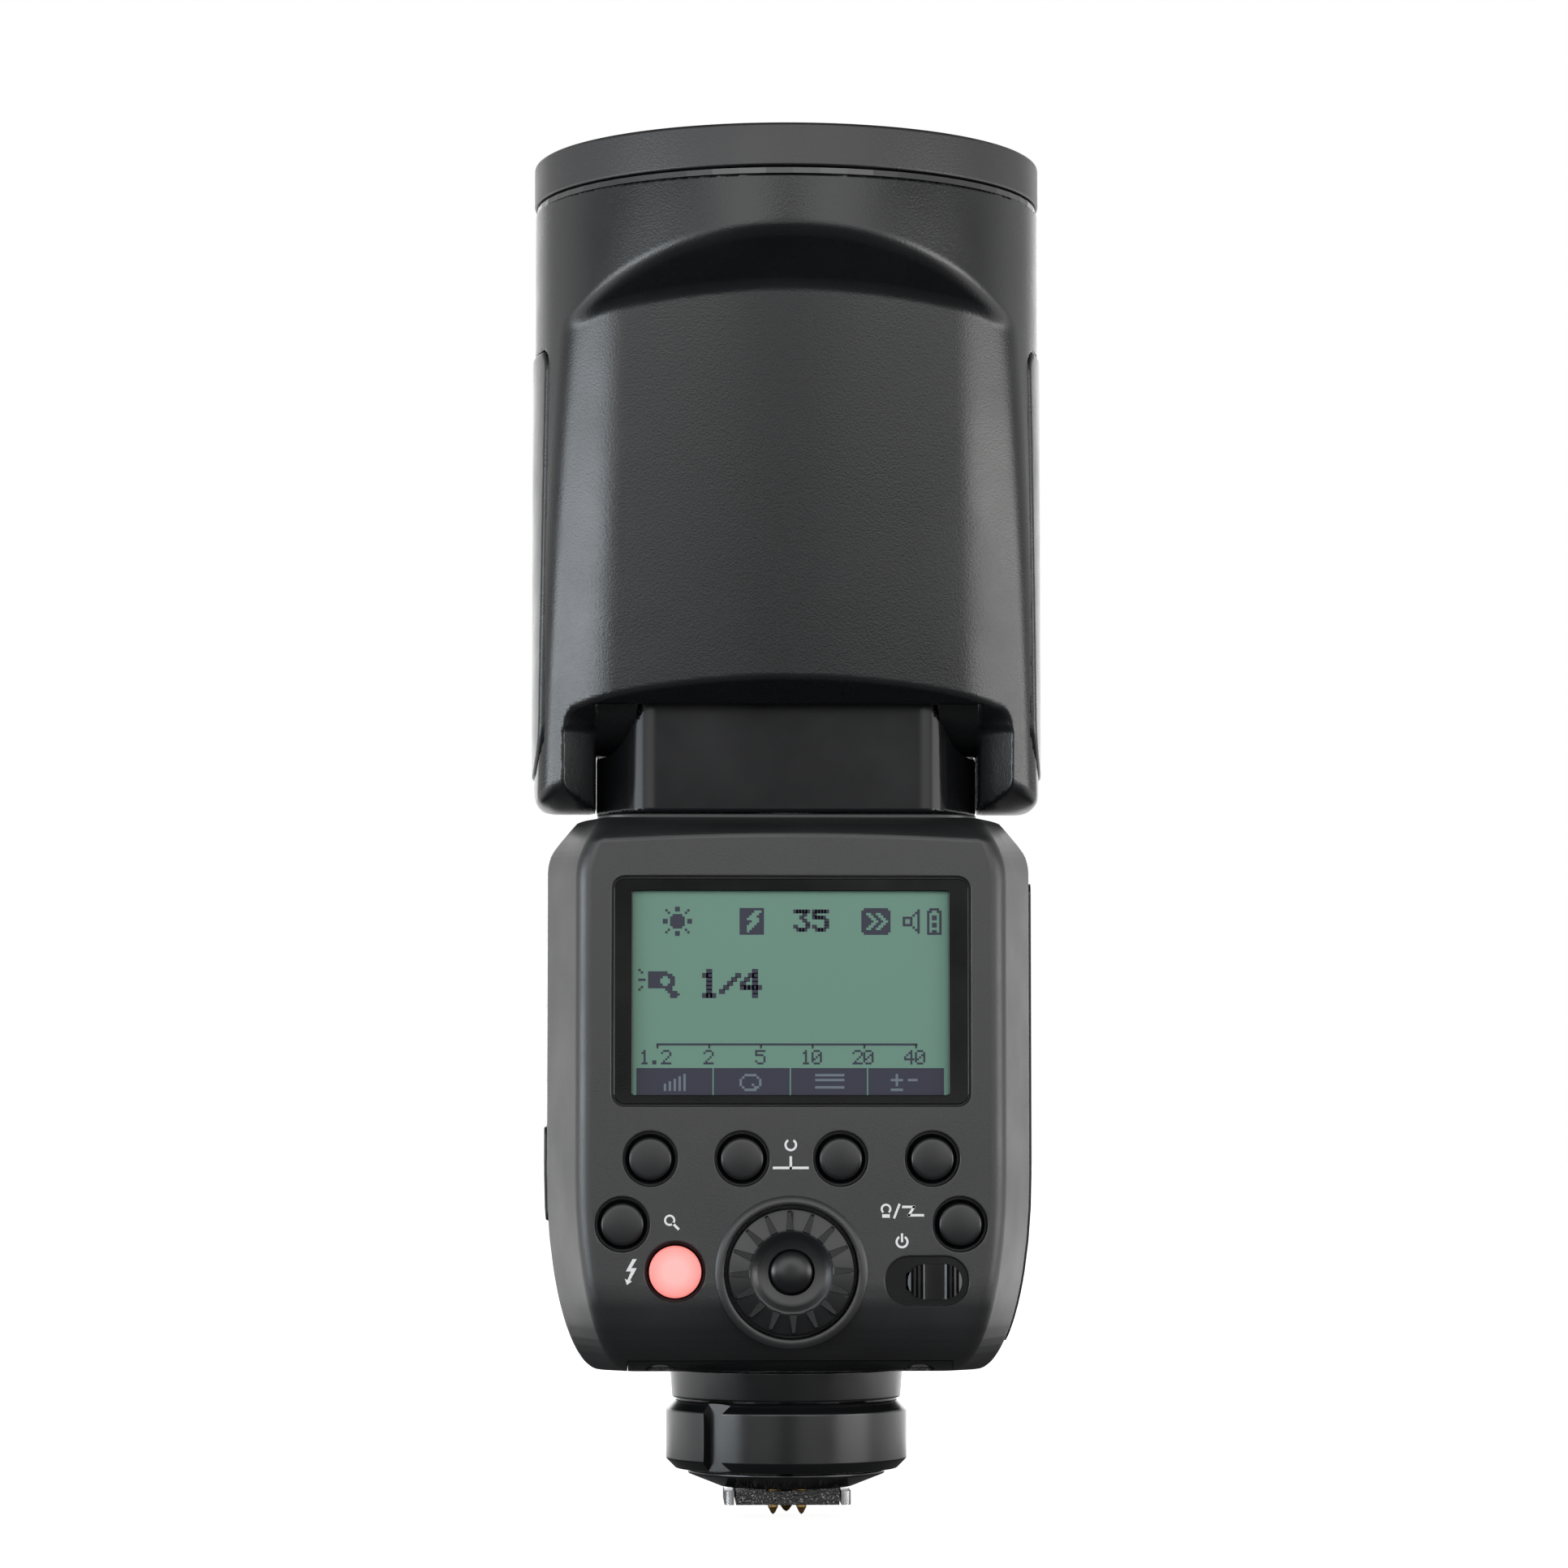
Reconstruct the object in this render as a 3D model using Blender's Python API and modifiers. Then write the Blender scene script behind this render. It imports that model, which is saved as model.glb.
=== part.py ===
"""Speedlight flash with a round head, at its real size in metres.

+Z is up, the control panel faces -Y, and the origin is the middle of the shoe foot's underside.
The head stands upright: it swivels on the body about Z and tilts on the pivot block about X.
"""

import math

import bmesh
import bpy
from mathutils import Matrix, Vector

# Clearances and working allowances
FIT = 0.0003
RUN = 0.0005
OVERCUT = 0.004
SINK = 0.0006
MERGE = 0.00001
SHARP_ANGLE = math.radians(32)

# Shoe foot and its contacts
FOOT_WIDTH = 0.0186
FOOT_LENGTH = 0.0180
FOOT_THICK = 0.0020
FOOT_CORNER = 0.0010
FOOT_BRIDGE = 0.0026
INSERT_WIDTH = 0.0152
CONTACT_RADIUS = 0.00075
CONTACT_HEAD = 0.0012
CONTACT_REACH = 0.0016
CONTACT_TRAVEL = 0.0008
CONTACT_SPREAD = 0.0042
CONTACT_ROWS = (-0.0056, -0.0029)

# Shoe base, lock ring, lock pin and neck
SHOE_BASE_HEIGHT = 0.0024
SHOE_BASE_RADIUS = 0.0146
SHOE_BASE_FOOT_RADIUS = 0.0098
SHOE_BASE_RIM = 0.0005
SHOE_POCKET_RADIUS = 0.0080
SHOE_POCKET_ROOF = 0.0007
LOCK_RING_RADIUS = 0.0179
LOCK_RING_HEIGHT = 0.0101
LOCK_RING_CHAMFER = 0.0014
LOCK_NOTCH_WIDTH = 0.0046
LOCK_NOTCH_DEPTH = 0.0015
LOCK_NOTCH_ANGLE = math.radians(-40)
CORE_RADIUS = 0.0120
LOCK_PIN_RADIUS = 0.0010
LOCK_PIN_Y = 0.0044
LOCK_PIN_RISE = 0.0112
LOCK_TRAVEL = 0.0016
LOCK_ARM = 0.0012
CAM_DEPTH = 0.0012
NECK_RADIUS = 0.0173
NECK_HEIGHT = 0.0043
NECK_TAPER = 0.0003
CABLE_RADIUS = 0.0030

# Body outside
BODY_WIDTH = 0.0725
BODY_HEIGHT = 0.0806
BODY_BACK = 0.0285
BODY_FRONT = 0.0270
BODY_WALL = 0.0018
PANEL_WIDTH = 0.0612
SPLIT_DEPTH = 0.0130
SHOULDER_STEP = 0.0008
FRONT_CHAMFER = 0.0070
SIDE_CURVE_HEIGHT = 0.0285
SIDE_CURVE_DEPTH = 0.0085
BACK_CURVE_HEIGHT = 0.0127
BACK_CURVE_DEPTH = 0.0105
FRONT_CURVE_HEIGHT = 0.0070
FRONT_CURVE_DEPTH = 0.0060
TOP_SIDE_HEIGHT = 0.0070
TOP_BACK_HEIGHT = 0.0026
TOP_INSET = 0.0053
TOP_EDGE = ((1.0, 0.0), (0.60, 0.21), (0.16, 0.66), (0.0, 1.0))
PANEL_EDGE_RADIUS = 0.0020
SHOULDER_RADIUS = 0.0040
FRONT_RADIUS = 0.0035
BODY_ARC_STEPS = 2

# Base plate and its screws
BASE_PLATE_WIDTH = 0.0470
BASE_PLATE_FRONT = 0.0150
BASE_PLATE_THICK = 0.0017
BASE_SCREW_X = 0.0188
BASE_SCREW_Y = -0.0202
BASE_SCREW_HEAD = 0.0020
BASE_SCREW_SHANK = 0.0008
BASE_SCREW_LENGTH = 0.0038

# Display
WINDOW_WIDTH = 0.0512
WINDOW_HEIGHT = 0.0325
WINDOW_CORNER = 0.0016
WINDOW_THICK = 0.0010
WINDOW_LEDGE = 0.0020
WINDOW_Z = 0.0750
DISPLAY_MARGIN = 0.0008
DISPLAY_THICK = 0.0026

# Keys, as (name, x, z), and their stepped profile
KEY_RADIUS = 0.0031
KEY_HOLE_RADIUS = 0.0039
KEY_COLLAR_RADIUS = 0.0041
KEY_STEM_RADIUS = 0.0015
KEY_DOME = 0.0009
KEY_SKIRT_DROP = 0.0007
KEY_COLLAR_THICK = 0.0006
KEY_TRAVEL = 0.0006
KEY_STEPS = 14
SOFT_KEY_XS = (-0.0203, -0.0071, 0.0071, 0.0203)
SOFT_KEY_Z = 0.0509
SIDE_KEY_INSET = 0.0063
SIDE_KEY_Z = 0.0415
TEST_KEY_RADIUS = 0.0038
TEST_HOLE_RADIUS = 0.00425
TEST_KEY_X = -0.0167
TEST_KEY_Z = 0.0347

# Control dial with the set key in its middle
DIAL_RADIUS = 0.0091
DIAL_Z = 0.03465
DIAL_BEZEL_WIDTH = 0.0013
DIAL_BEZEL_RISE = 0.0008
DIAL_WELL_DEPTH = 0.0046
DIAL_FLOOR = 0.0014
DIAL_RISE = 0.0010
DIAL_DISH_RADIUS = 0.0056
DIAL_DISH_DROP = 0.0007
DIAL_RIM_DROP = 0.0011
DIAL_HUB_RADIUS = 0.0043
DIAL_LIP = 0.0006
DIAL_RIBS = 16
DIAL_RIB_WIDTH = 0.0009
DIAL_RIB_RISE = 0.0004
SET_KEY_RADIUS = 0.00305
SET_KEY_RISE = 0.0008

# Power slider
POWER_X = 0.0195
POWER_Z = 0.0333
POWER_SLOT_LENGTH = 0.0119
POWER_SLOT_WIDTH = 0.0071
POWER_SLOT_DEPTH = 0.0010
POWER_KNOB_LENGTH = 0.0078
POWER_KNOB_WIDTH = 0.0050
POWER_KNOB_RISE = 0.0004
POWER_GRIP_LENGTH = 0.0024
POWER_GRIP_RISE = 0.0005
POWER_STEM = 0.0020
POWER_TRAVEL = 0.0022

# Port cover and sockets on the left side
PORT_Y = -0.0030
PORT_Z = 0.0486
PORT_LENGTH = 0.0140
PORT_HEIGHT = 0.0138
PORT_CORNER = 0.0015
PORT_PROUD = 0.0004
PORT_BLOCK_DEPTH = 0.0085
JACK_RADIUS = 0.00175
USB_HALF_LENGTH = 0.0045
USB_HALF_WIDTH = 0.0016

# Battery pack, latch and bay on the right side
PACK_Y = 0.0052
PACK_DEPTH = 0.0290
PACK_FOOT = 0.0040
PACK_INNER_X = 0.0086
PACK_CORNER = 0.0018
PACK_PROUD = 0.0005
LATCH_HEIGHT = 0.0100
LATCH_WIDTH = 0.0120
LATCH_DROP = 0.0130
LATCH_TRAVEL = 0.0010
LATCH_DEPTH = 0.0030
BAY_WALL = 0.0011
BAY_LENGTH = 0.0170
TERMINAL_BLOCK = 0.0032

# Boards, capacitor and front sensor window
BOARD_THICK = 0.0016
BOARD_WIDTH = 0.0500
CONTROL_BOARD_DEPTH = 0.0089
CONTROL_BOARD_FOOT = 0.0060
CONTROL_BOARD_DROP = 0.0072
POWER_BOARD_Y = 0.0222
POWER_BOARD_FOOT = 0.0110
POWER_BOARD_DROP = 0.0092
CAPACITOR_RADIUS = 0.0105
CAPACITOR_LENGTH = 0.0540
CAPACITOR_X = -0.0165
CAPACITOR_Y = 0.0110
CAPACITOR_CRIMP = 0.0005
SENSOR_WIDTH = 0.0340
SENSOR_HEIGHT = 0.0220
SENSOR_Z = 0.0640
SENSOR_THICK = 0.0010
SENSOR_CORNER = 0.0030

# Swivel: turntable plate, shaft, bush and nut
TURNTABLE_THICK = 0.0017
SHAFT_RADIUS = 0.0083
SHAFT_WALL = 0.0025
SHAFT_RISE = 0.0080
BUSH_WALL = 0.0030
BUSH_FLANGE = 0.0025
BUSH_FLANGE_THICK = 0.0016
NUT_HEIGHT = 0.0032
NUT_WALL = 0.0040

# Pivot block and tilt hinge
ARM_THICK = 0.0092
BLOCK_DEPTH = 0.0204
BLOCK_CORNER = 0.0062
TILT_RISE = 0.0181
TILT_BACK = math.radians(30)
TILT_FORWARD = math.radians(90)
HUB_RADIUS = 0.01005
HUB_REACH = 0.0066
PIN_RADIUS = 0.0032
PIN_HEAD_RADIUS = 0.0050
PIN_HEAD_THICK = 0.0018
PIN_DEPTH = 0.0075
ARM_GAP = 0.0006
ARM_RADIUS = 0.0180
ARM_CORNER = 0.0042

# Head shell
HEAD_RADIUS = 0.0379
HEAD_HEIGHT = 0.0712
HEAD_WALL = 0.0024
HEAD_FLOOR_WALL = 0.0026
HEAD_STEPS = 60
COVE_DROP = 0.0080
COVE_SLOPE = 0.60
BACK_DEPTH = 0.0208
BACK_LEAN = 0.125
BACK_CROWN = 0.0846
BACK_FACET = 0.0280
BACK_FACET_LEAN = 0.102
BACK_FACET_ANGLE = math.radians(30)
FRONT_DEPTH = 0.01485
FRONT_LEAN = 0.100
FRONT_CROWN = 0.3000
FRONT_FACET = 0.0347
FRONT_FACET_LEAN = 0.050
FRONT_FACET_ANGLE = math.radians(50)
CROWN_STEPS = 8
LIP_DROP = 0.0054
LIP_START = 0.0088
LIP_REACH = 0.0250
LIP_SLOPE = 0.53
LIP_CORNERS = (0.0010, 0.0050)

# Side trim plates
TRIM_TOP_RISE = 0.0495
TRIM_BOTTOM_DROP = 0.0138
TRIM_TOP_HALF = 0.0130
TRIM_BOTTOM_HALF = 0.0095
TRIM_TOP_CORNER = 0.0030
TRIM_BOTTOM_CORNER = 0.0080
TRIM_PROUD = 0.0003
TRIM_SEAT = 0.0035
CAVITY_SIDE_WALL = 0.0050

# Bezel ring, gasket strip and front lens
BEZEL_HEIGHT = 0.0063
BEZEL_PROUD = 0.0001
BEZEL_EDGE = 0.0005
BEZEL_WALL = 0.0031
BEZEL_LEDGE = 0.0019
BEZEL_LEDGE_HEIGHT = 0.0010
BEZEL_SPIGOT = 0.0055
STRIP_HEIGHT = 0.0008
STRIP_INSET = 0.0003
STRIP_WIDTH = 0.0018
LENS_THICK = 0.0026
LENS_CROWN = 0.0007
LENS_GROOVES = 3
LENS_GROOVE_DEPTH = 0.0009
LENS_CLEAR_RADIUS = 0.0070

# Zoom drive, reflector and flash tube
ZOOM_TRAVEL = 0.0120
MOTOR_GAP = 0.0009
RAIL_RADIUS = 0.0015
MOTOR_RADIUS = 0.0050
MOTOR_HEIGHT = 0.0100
CARRIAGE_THICK = 0.0040
CARRIAGE_WIDTH = 0.0090
CARRIAGE_EYE = 0.0036
CARRIAGE_HUB_RADIUS = 0.0120
REFLECTOR_HEIGHT = 0.0210
REFLECTOR_MOUTH = 0.0168
REFLECTOR_BASE = 0.0105
REFLECTOR_WALL = 0.0008
REFLECTOR_FLOOR = 0.0012
TUBE_RADIUS = 0.0019
TUBE_RING = 0.0066
TUBE_RISE = 0.0062
TUBE_GAP_ANGLE = math.radians(50)
LAMP_RADIUS = 0.0032
LAMP_HEIGHT = 0.0014

# Heights that follow from the stack of pieces
SHOE_BASE_BOTTOM = FOOT_THICK + FIT
SHOE_BASE_TOP = SHOE_BASE_BOTTOM + SHOE_BASE_HEIGHT
LOCK_RING_BOTTOM = SHOE_BASE_TOP + FIT
LOCK_RING_TOP = LOCK_RING_BOTTOM + LOCK_RING_HEIGHT
NECK_BOTTOM = LOCK_RING_TOP + FIT
NECK_TOP = NECK_BOTTOM + NECK_HEIGHT
BODY_BOTTOM = NECK_TOP + FIT
BODY_TOP = BODY_BOTTOM + BODY_HEIGHT
TURNTABLE_BOTTOM = BODY_TOP + FIT
TURNTABLE_TOP = TURNTABLE_BOTTOM + TURNTABLE_THICK
BLOCK_BOTTOM = TURNTABLE_TOP + FIT
TILT_Z = BLOCK_BOTTOM + TILT_RISE
HEAD_BOTTOM = TILT_Z - ARM_RADIUS
HEAD_TOP = TILT_Z + HEAD_HEIGHT
STRIP_BOTTOM = HEAD_TOP + FIT
BEZEL_BOTTOM = STRIP_BOTTOM + STRIP_HEIGHT + FIT
BEZEL_TOP = BEZEL_BOTTOM + BEZEL_HEIGHT

# Other sizes that follow
BLOCK_WIDTH = 2 * (HEAD_RADIUS - ARM_THICK - ARM_GAP)
RAIL_X = HEAD_RADIUS - CAVITY_SIDE_WALL - MOTOR_RADIUS - MOTOR_GAP
NUT_BOTTOM = BODY_TOP - BODY_WALL - 2 * FIT - BUSH_FLANGE_THICK - NUT_HEIGHT
PACK_BOTTOM = BODY_BOTTOM + PACK_FOOT
PACK_HEIGHT = NUT_BOTTOM - BAY_WALL - RUN - FIT - PACK_BOTTOM
PANEL_Y = -BODY_BACK
GAP_RADIUS = BLOCK_DEPTH / 2 + RUN
GAP_HALF = BLOCK_WIDTH / 2 + ARM_GAP
HUB_INNER_X = GAP_HALF - HUB_REACH
BLOCK_NECK_HALF = HUB_INNER_X - FIT
HEAD_FLOOR = TILT_Z + GAP_RADIUS + HEAD_FLOOR_WALL
CAVITY_RADIUS = HEAD_RADIUS - HEAD_WALL
BEZEL_RADIUS = HEAD_RADIUS + BEZEL_PROUD
BEZEL_BORE = BEZEL_RADIUS - BEZEL_WALL
SPIGOT_RADIUS = CAVITY_RADIUS - FIT
SPIGOT_BOTTOM = BEZEL_BOTTOM - BEZEL_SPIGOT
TRIM_SEAT_X = HEAD_RADIUS - TRIM_SEAT
MOTOR_TOP = HEAD_FLOOR + FIT + MOTOR_HEIGHT
CARRIAGE_BOTTOM = MOTOR_TOP + ZOOM_TRAVEL + RUN
CARRIAGE_TOP = CARRIAGE_BOTTOM + CARRIAGE_THICK
RAIL_TOP = CARRIAGE_TOP + ZOOM_TRAVEL
CONTROL_BOARD_Y = PANEL_Y + CONTROL_BOARD_DEPTH
CONTROL_BOARD_LOW = BODY_BOTTOM + CONTROL_BOARD_FOOT
CONTROL_BOARD_HIGH = BODY_TOP - CONTROL_BOARD_DROP
POWER_BOARD_LOW = BODY_BOTTOM + POWER_BOARD_FOOT
POWER_BOARD_HIGH = BODY_TOP - POWER_BOARD_DROP
SIDE_KEY_X = PANEL_WIDTH / 2 - SIDE_KEY_INSET
DIAL_WELL_RADIUS = DIAL_RADIUS + RUN
SET_BORE = SET_KEY_RADIUS + FIT

# Finishes: colour, roughness and metallic value
FINISHES = {
    "shell": ((0.026, 0.028, 0.031), 0.52, 0.0),
    "panel": ((0.036, 0.038, 0.041), 0.46, 0.0),
    "gloss": ((0.012, 0.013, 0.014), 0.16, 0.0),
    "rubber": ((0.018, 0.018, 0.019), 0.75, 0.0),
    "chrome": ((0.80, 0.81, 0.82), 0.12, 1.0),
    "steel": ((0.46, 0.47, 0.48), 0.30, 1.0),
    "brass": ((0.72, 0.56, 0.28), 0.28, 1.0),
    "display": ((0.13, 0.26, 0.20), 0.25, 0.0),
    "red": ((0.86, 0.20, 0.17), 0.30, 0.0),
    "dark_red": ((0.10, 0.008, 0.008), 0.10, 0.0),
    "clear": ((0.86, 0.88, 0.88), 0.08, 0.0),
    "board": ((0.03, 0.16, 0.07), 0.50, 0.0),
    "white": ((0.80, 0.80, 0.76), 0.45, 0.0),
}


def clear_scene():
    """Start from an empty scene."""
    for item in list(bpy.data.objects):
        bpy.data.objects.remove(item, do_unlink=True)


def new_collection(name):
    group = bpy.data.collections.new(name)
    bpy.context.scene.collection.children.link(group)
    return group


clear_scene()
PARTS = new_collection("speedlight_flash")
CUTTERS = new_collection("cutters")


def new_material(name, finish):
    """Principled material with one of the finishes."""
    colour, roughness, metallic = FINISHES[finish]
    made = bpy.data.materials.new(name + "_finish")
    made.use_nodes = True
    shader = made.node_tree.nodes["Principled BSDF"]
    shader.inputs["Base Color"].default_value = (*colour, 1.0)
    shader.inputs["Roughness"].default_value = roughness
    shader.inputs["Metallic"].default_value = metallic
    return made


# Outlines and basic solids
def rounded(corners, radii, steps=4):
    """Outline with an arc on each corner, with one radius for all or one for each."""
    if not isinstance(radii, (list, tuple)):
        radii = [radii] * len(corners)
    points = []
    for i, radius in enumerate(radii):
        here = Vector(corners[i])
        back = Vector(corners[i - 1]) - here
        ahead = Vector(corners[(i + 1) % len(corners)]) - here
        half_angle = back.angle(ahead) / 2
        reach = min(radius / math.tan(half_angle), 0.49 * back.length, 0.49 * ahead.length)
        middle = (back.normalized() + ahead.normalized()).normalized()
        centre = here + middle * (reach / math.cos(half_angle))
        start = here + back.normalized() * reach - centre
        end = here + ahead.normalized() * reach - centre
        first = math.atan2(start.y, start.x)
        sweep = math.atan2(start.x * end.y - start.y * end.x, start.dot(end))
        for k in range(steps + 1):
            angle = first + sweep * k / steps
            turn = Vector((math.cos(angle), math.sin(angle)))
            points.append(tuple(centre + turn * start.length))
    return points


def rounded_box(centre, width, height, radius, steps=4):
    """Rectangle with round corners."""
    x, y = centre
    half_w, half_h = width / 2, height / 2
    corners = [(-half_w, -half_h), (half_w, -half_h), (half_w, half_h), (-half_w, half_h)]
    corners = [(x + dx, y + dy) for dx, dy in corners]
    return rounded(corners, radius, steps)


def loft(rings):
    """Closed solid through rings of equally many points, with a flat face on each end."""
    bm = bmesh.new()
    loops = [[bm.verts.new(point) for point in ring] for ring in rings]
    for low, high in zip(loops, loops[1:]):
        for i, corner in enumerate(low):
            j = (i + 1) % len(low)
            bm.faces.new((corner, low[j], high[j], high[i]))
    bm.faces.new(loops[0])
    bm.faces.new(loops[-1])
    bmesh.ops.recalc_face_normals(bm, faces=bm.faces)
    return bm


def prism(outline, axis, start, end):
    """Outline pushed along an axis: X takes (y, z) points, Y takes (x, z) and Z takes (x, y)."""
    places = {
        "X": lambda a, b, depth: (depth, a, b),
        "Y": lambda a, b, depth: (a, depth, b),
        "Z": lambda a, b, depth: (a, b, depth),
    }
    place = places[axis]
    return loft([[place(a, b, depth) for a, b in outline] for depth in (start, end)])


def box(low, high):
    bm = bmesh.new()
    size = Vector(high) - Vector(low)
    middle = (Vector(high) + Vector(low)) / 2
    bmesh.ops.create_cube(bm, size=1.0, matrix=Matrix.Translation(middle) @ Matrix.Diagonal((*size, 1.0)))
    return bm


def rod(radius, start, end, steps=24):
    """Cylinder between two points."""
    bm = bmesh.new()
    along = Vector(end) - Vector(start)
    turn = along.to_track_quat("Z", "Y").to_matrix().to_4x4()
    place = Matrix.Translation((Vector(start) + Vector(end)) / 2) @ turn
    bmesh.ops.create_cone(
        bm, cap_ends=True, segments=steps, radius1=radius, radius2=radius, depth=along.length, matrix=place
    )
    return bm


def upright(radius, x, y, low, high, steps=24):
    """Cylinder along Z."""
    return rod(radius, (x, y, low), (x, y, high), steps)


def several(solids):
    """Separate solids held in one mesh, for a cutter with many teeth."""
    bm = bmesh.new()
    for part in solids:
        scratch = bpy.data.meshes.new("scratch")
        part.to_mesh(scratch)
        part.free()
        bm.from_mesh(scratch)
        bpy.data.meshes.remove(scratch)
    return bm


# Objects, parents and Booleans
def add_object(name, bm, group, origin):
    bmesh.ops.translate(bm, vec=-Vector(origin), verts=bm.verts)
    mesh = bpy.data.meshes.new(name)
    bm.to_mesh(mesh)
    bm.free()
    mesh.shade_smooth()
    mesh.set_sharp_from_angle(angle=SHARP_ANGLE)
    item = bpy.data.objects.new(name, mesh)
    item.location = origin
    group.objects.link(item)
    return item


def hang(item, parent):
    """Parent an object to an empty without moving it."""
    if parent is not None:
        item.parent = parent
        item.matrix_parent_inverse = Matrix.Translation(-Vector(parent["place"]))


def add_part(name, bm, finish, origin=(0, 0, 0), parent=None):
    """Named sub-part from a solid in world coordinates, with its origin at a chosen point."""
    item = add_object(name, bm, PARTS, origin)
    item.data.materials.append(new_material(name, finish))
    hang(item, parent)
    return item


def add_cutter(name, bm):
    item = add_object(name, bm, CUTTERS, (0, 0, 0))
    item.hide_render = True
    item.display_type = "WIRE"
    return item


def boolean(item, bm, operation, name):
    """Cut, join or keep what a solid covers."""
    tool = add_cutter(f"{item.name}_{name}", bm)
    step = item.modifiers.new(name, "BOOLEAN")
    step.operation = operation
    step.solver = "EXACT"
    step.object = tool
    return tool


def cut(item, bm, name):
    return boolean(item, bm, "DIFFERENCE", name)


def join(item, bm, name):
    return boolean(item, bm, "UNION", name)


def keep(item, bm, name):
    return boolean(item, bm, "INTERSECT", name)


def turned(name, profile, finish, steps, location, rotation=(0, 0, 0), parent=None):
    """Turned sub-part: (radius, height) points, outer side first and top to bottom."""
    mesh = bpy.data.meshes.new(name)
    edges = [(i, i + 1) for i in range(len(profile) - 1)]
    if profile[0][0] > 0 and profile[-1][0] > 0:
        edges.append((len(profile) - 1, 0))
    mesh.from_pydata([(radius, 0.0, height) for radius, height in profile], edges, [])
    item = bpy.data.objects.new(name, mesh)
    item.location = location
    item.rotation_euler = rotation
    PARTS.objects.link(item)
    mesh.materials.append(new_material(name, finish))
    screw = item.modifiers.new("turn", "SCREW")
    screw.steps = steps
    screw.render_steps = steps
    screw.use_merge_vertices = True
    screw.merge_threshold = MERGE
    screw.use_smooth_shade = True
    hang(item, parent)
    return item


def add_empty(name, place, parent=None):
    """Joint axis that carries the pieces above it."""
    item = bpy.data.objects.new(name, None)
    item.location = place
    item["place"] = place
    PARTS.objects.link(item)
    hang(item, parent)
    return item


TO_PANEL = (math.pi / 2, 0, 0)
TO_RIGHT = (0, math.pi / 2, 0)
TO_LEFT = (0, -math.pi / 2, 0)


# Shoe foot
def shoe_foot():
    half_l = FOOT_LENGTH / 2
    outline = rounded_box((0, 0), FOOT_WIDTH, FOOT_LENGTH, FOOT_CORNER)
    plate = add_part("foot_plate", prism(outline, "Z", 0, FOOT_THICK), "chrome")
    slot_half = INSERT_WIDTH / 2 + FIT
    slot_end = half_l - FOOT_BRIDGE
    slot_low = (-slot_half, -half_l - OVERCUT, -OVERCUT)
    cut(plate, box(slot_low, (slot_half, slot_end, FOOT_THICK + OVERCUT)), "slot")
    insert_low = (-INSERT_WIDTH / 2, -half_l, 0)
    insert_high = (INSERT_WIDTH / 2, slot_end - FIT, FOOT_THICK)
    insert = add_part("foot_insert", box(insert_low, insert_high), "rubber")
    holes = [(x, y, radius + FIT / 2) for _, x, y, radius in contact_places()]
    holes.append((0, LOCK_PIN_Y, LOCK_PIN_RADIUS + FIT))
    drills = [upright(r, x, y, -OVERCUT, FOOT_THICK + OVERCUT, 16) for x, y, r in holes]
    cut(insert, several(drills), "pin_holes")


def contact_places():
    """Name, place and radius of each spring contact: one in the middle and two rows of two."""
    places = [("contact_centre", 0.0, 0.0, CONTACT_RADIUS * 1.4)]
    for row, y in enumerate(CONTACT_ROWS, 1):
        for side, x in (("left", -CONTACT_SPREAD / 2), ("right", CONTACT_SPREAD / 2)):
            places.append((f"contact_{side}_{row}", x, y, CONTACT_RADIUS))
    return places


def contacts():
    collar_low = FOOT_THICK + FIT
    collar_high = SHOE_BASE_TOP - SHOE_POCKET_ROOF - CONTACT_TRAVEL - FIT
    for name, x, y, radius in contact_places():
        collar = radius + CONTACT_HEAD - CONTACT_RADIUS
        profile = [
            (0, collar_high),
            (collar, collar_high),
            (collar, collar_low),
            (radius, collar_low),
            (radius, -CONTACT_REACH * 0.3),
            (radius * 0.4, -CONTACT_REACH * 0.85),
            (0, -CONTACT_REACH),
        ]
        turned(name, profile, "brass", 12, (x, y, 0))


# Shoe base, lock ring and neck
def shoe_base():
    roof = SHOE_BASE_TOP - SHOE_POCKET_ROOF
    profile = [
        (0, SHOE_BASE_TOP),
        (SHOE_BASE_RADIUS, SHOE_BASE_TOP),
        (SHOE_BASE_RADIUS, SHOE_BASE_TOP - SHOE_BASE_RIM),
        (SHOE_BASE_FOOT_RADIUS, SHOE_BASE_BOTTOM),
        (SHOE_POCKET_RADIUS, SHOE_BASE_BOTTOM),
        (SHOE_POCKET_RADIUS, roof),
        (0, roof),
    ]
    base = turned("shoe_base", profile, "shell", 32, (0, 0, 0))
    hole = LOCK_PIN_RADIUS + FIT
    cut(base, upright(hole, 0, LOCK_PIN_Y, roof - OVERCUT, SHOE_BASE_TOP + OVERCUT, 16), "pin_hole")


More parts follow.
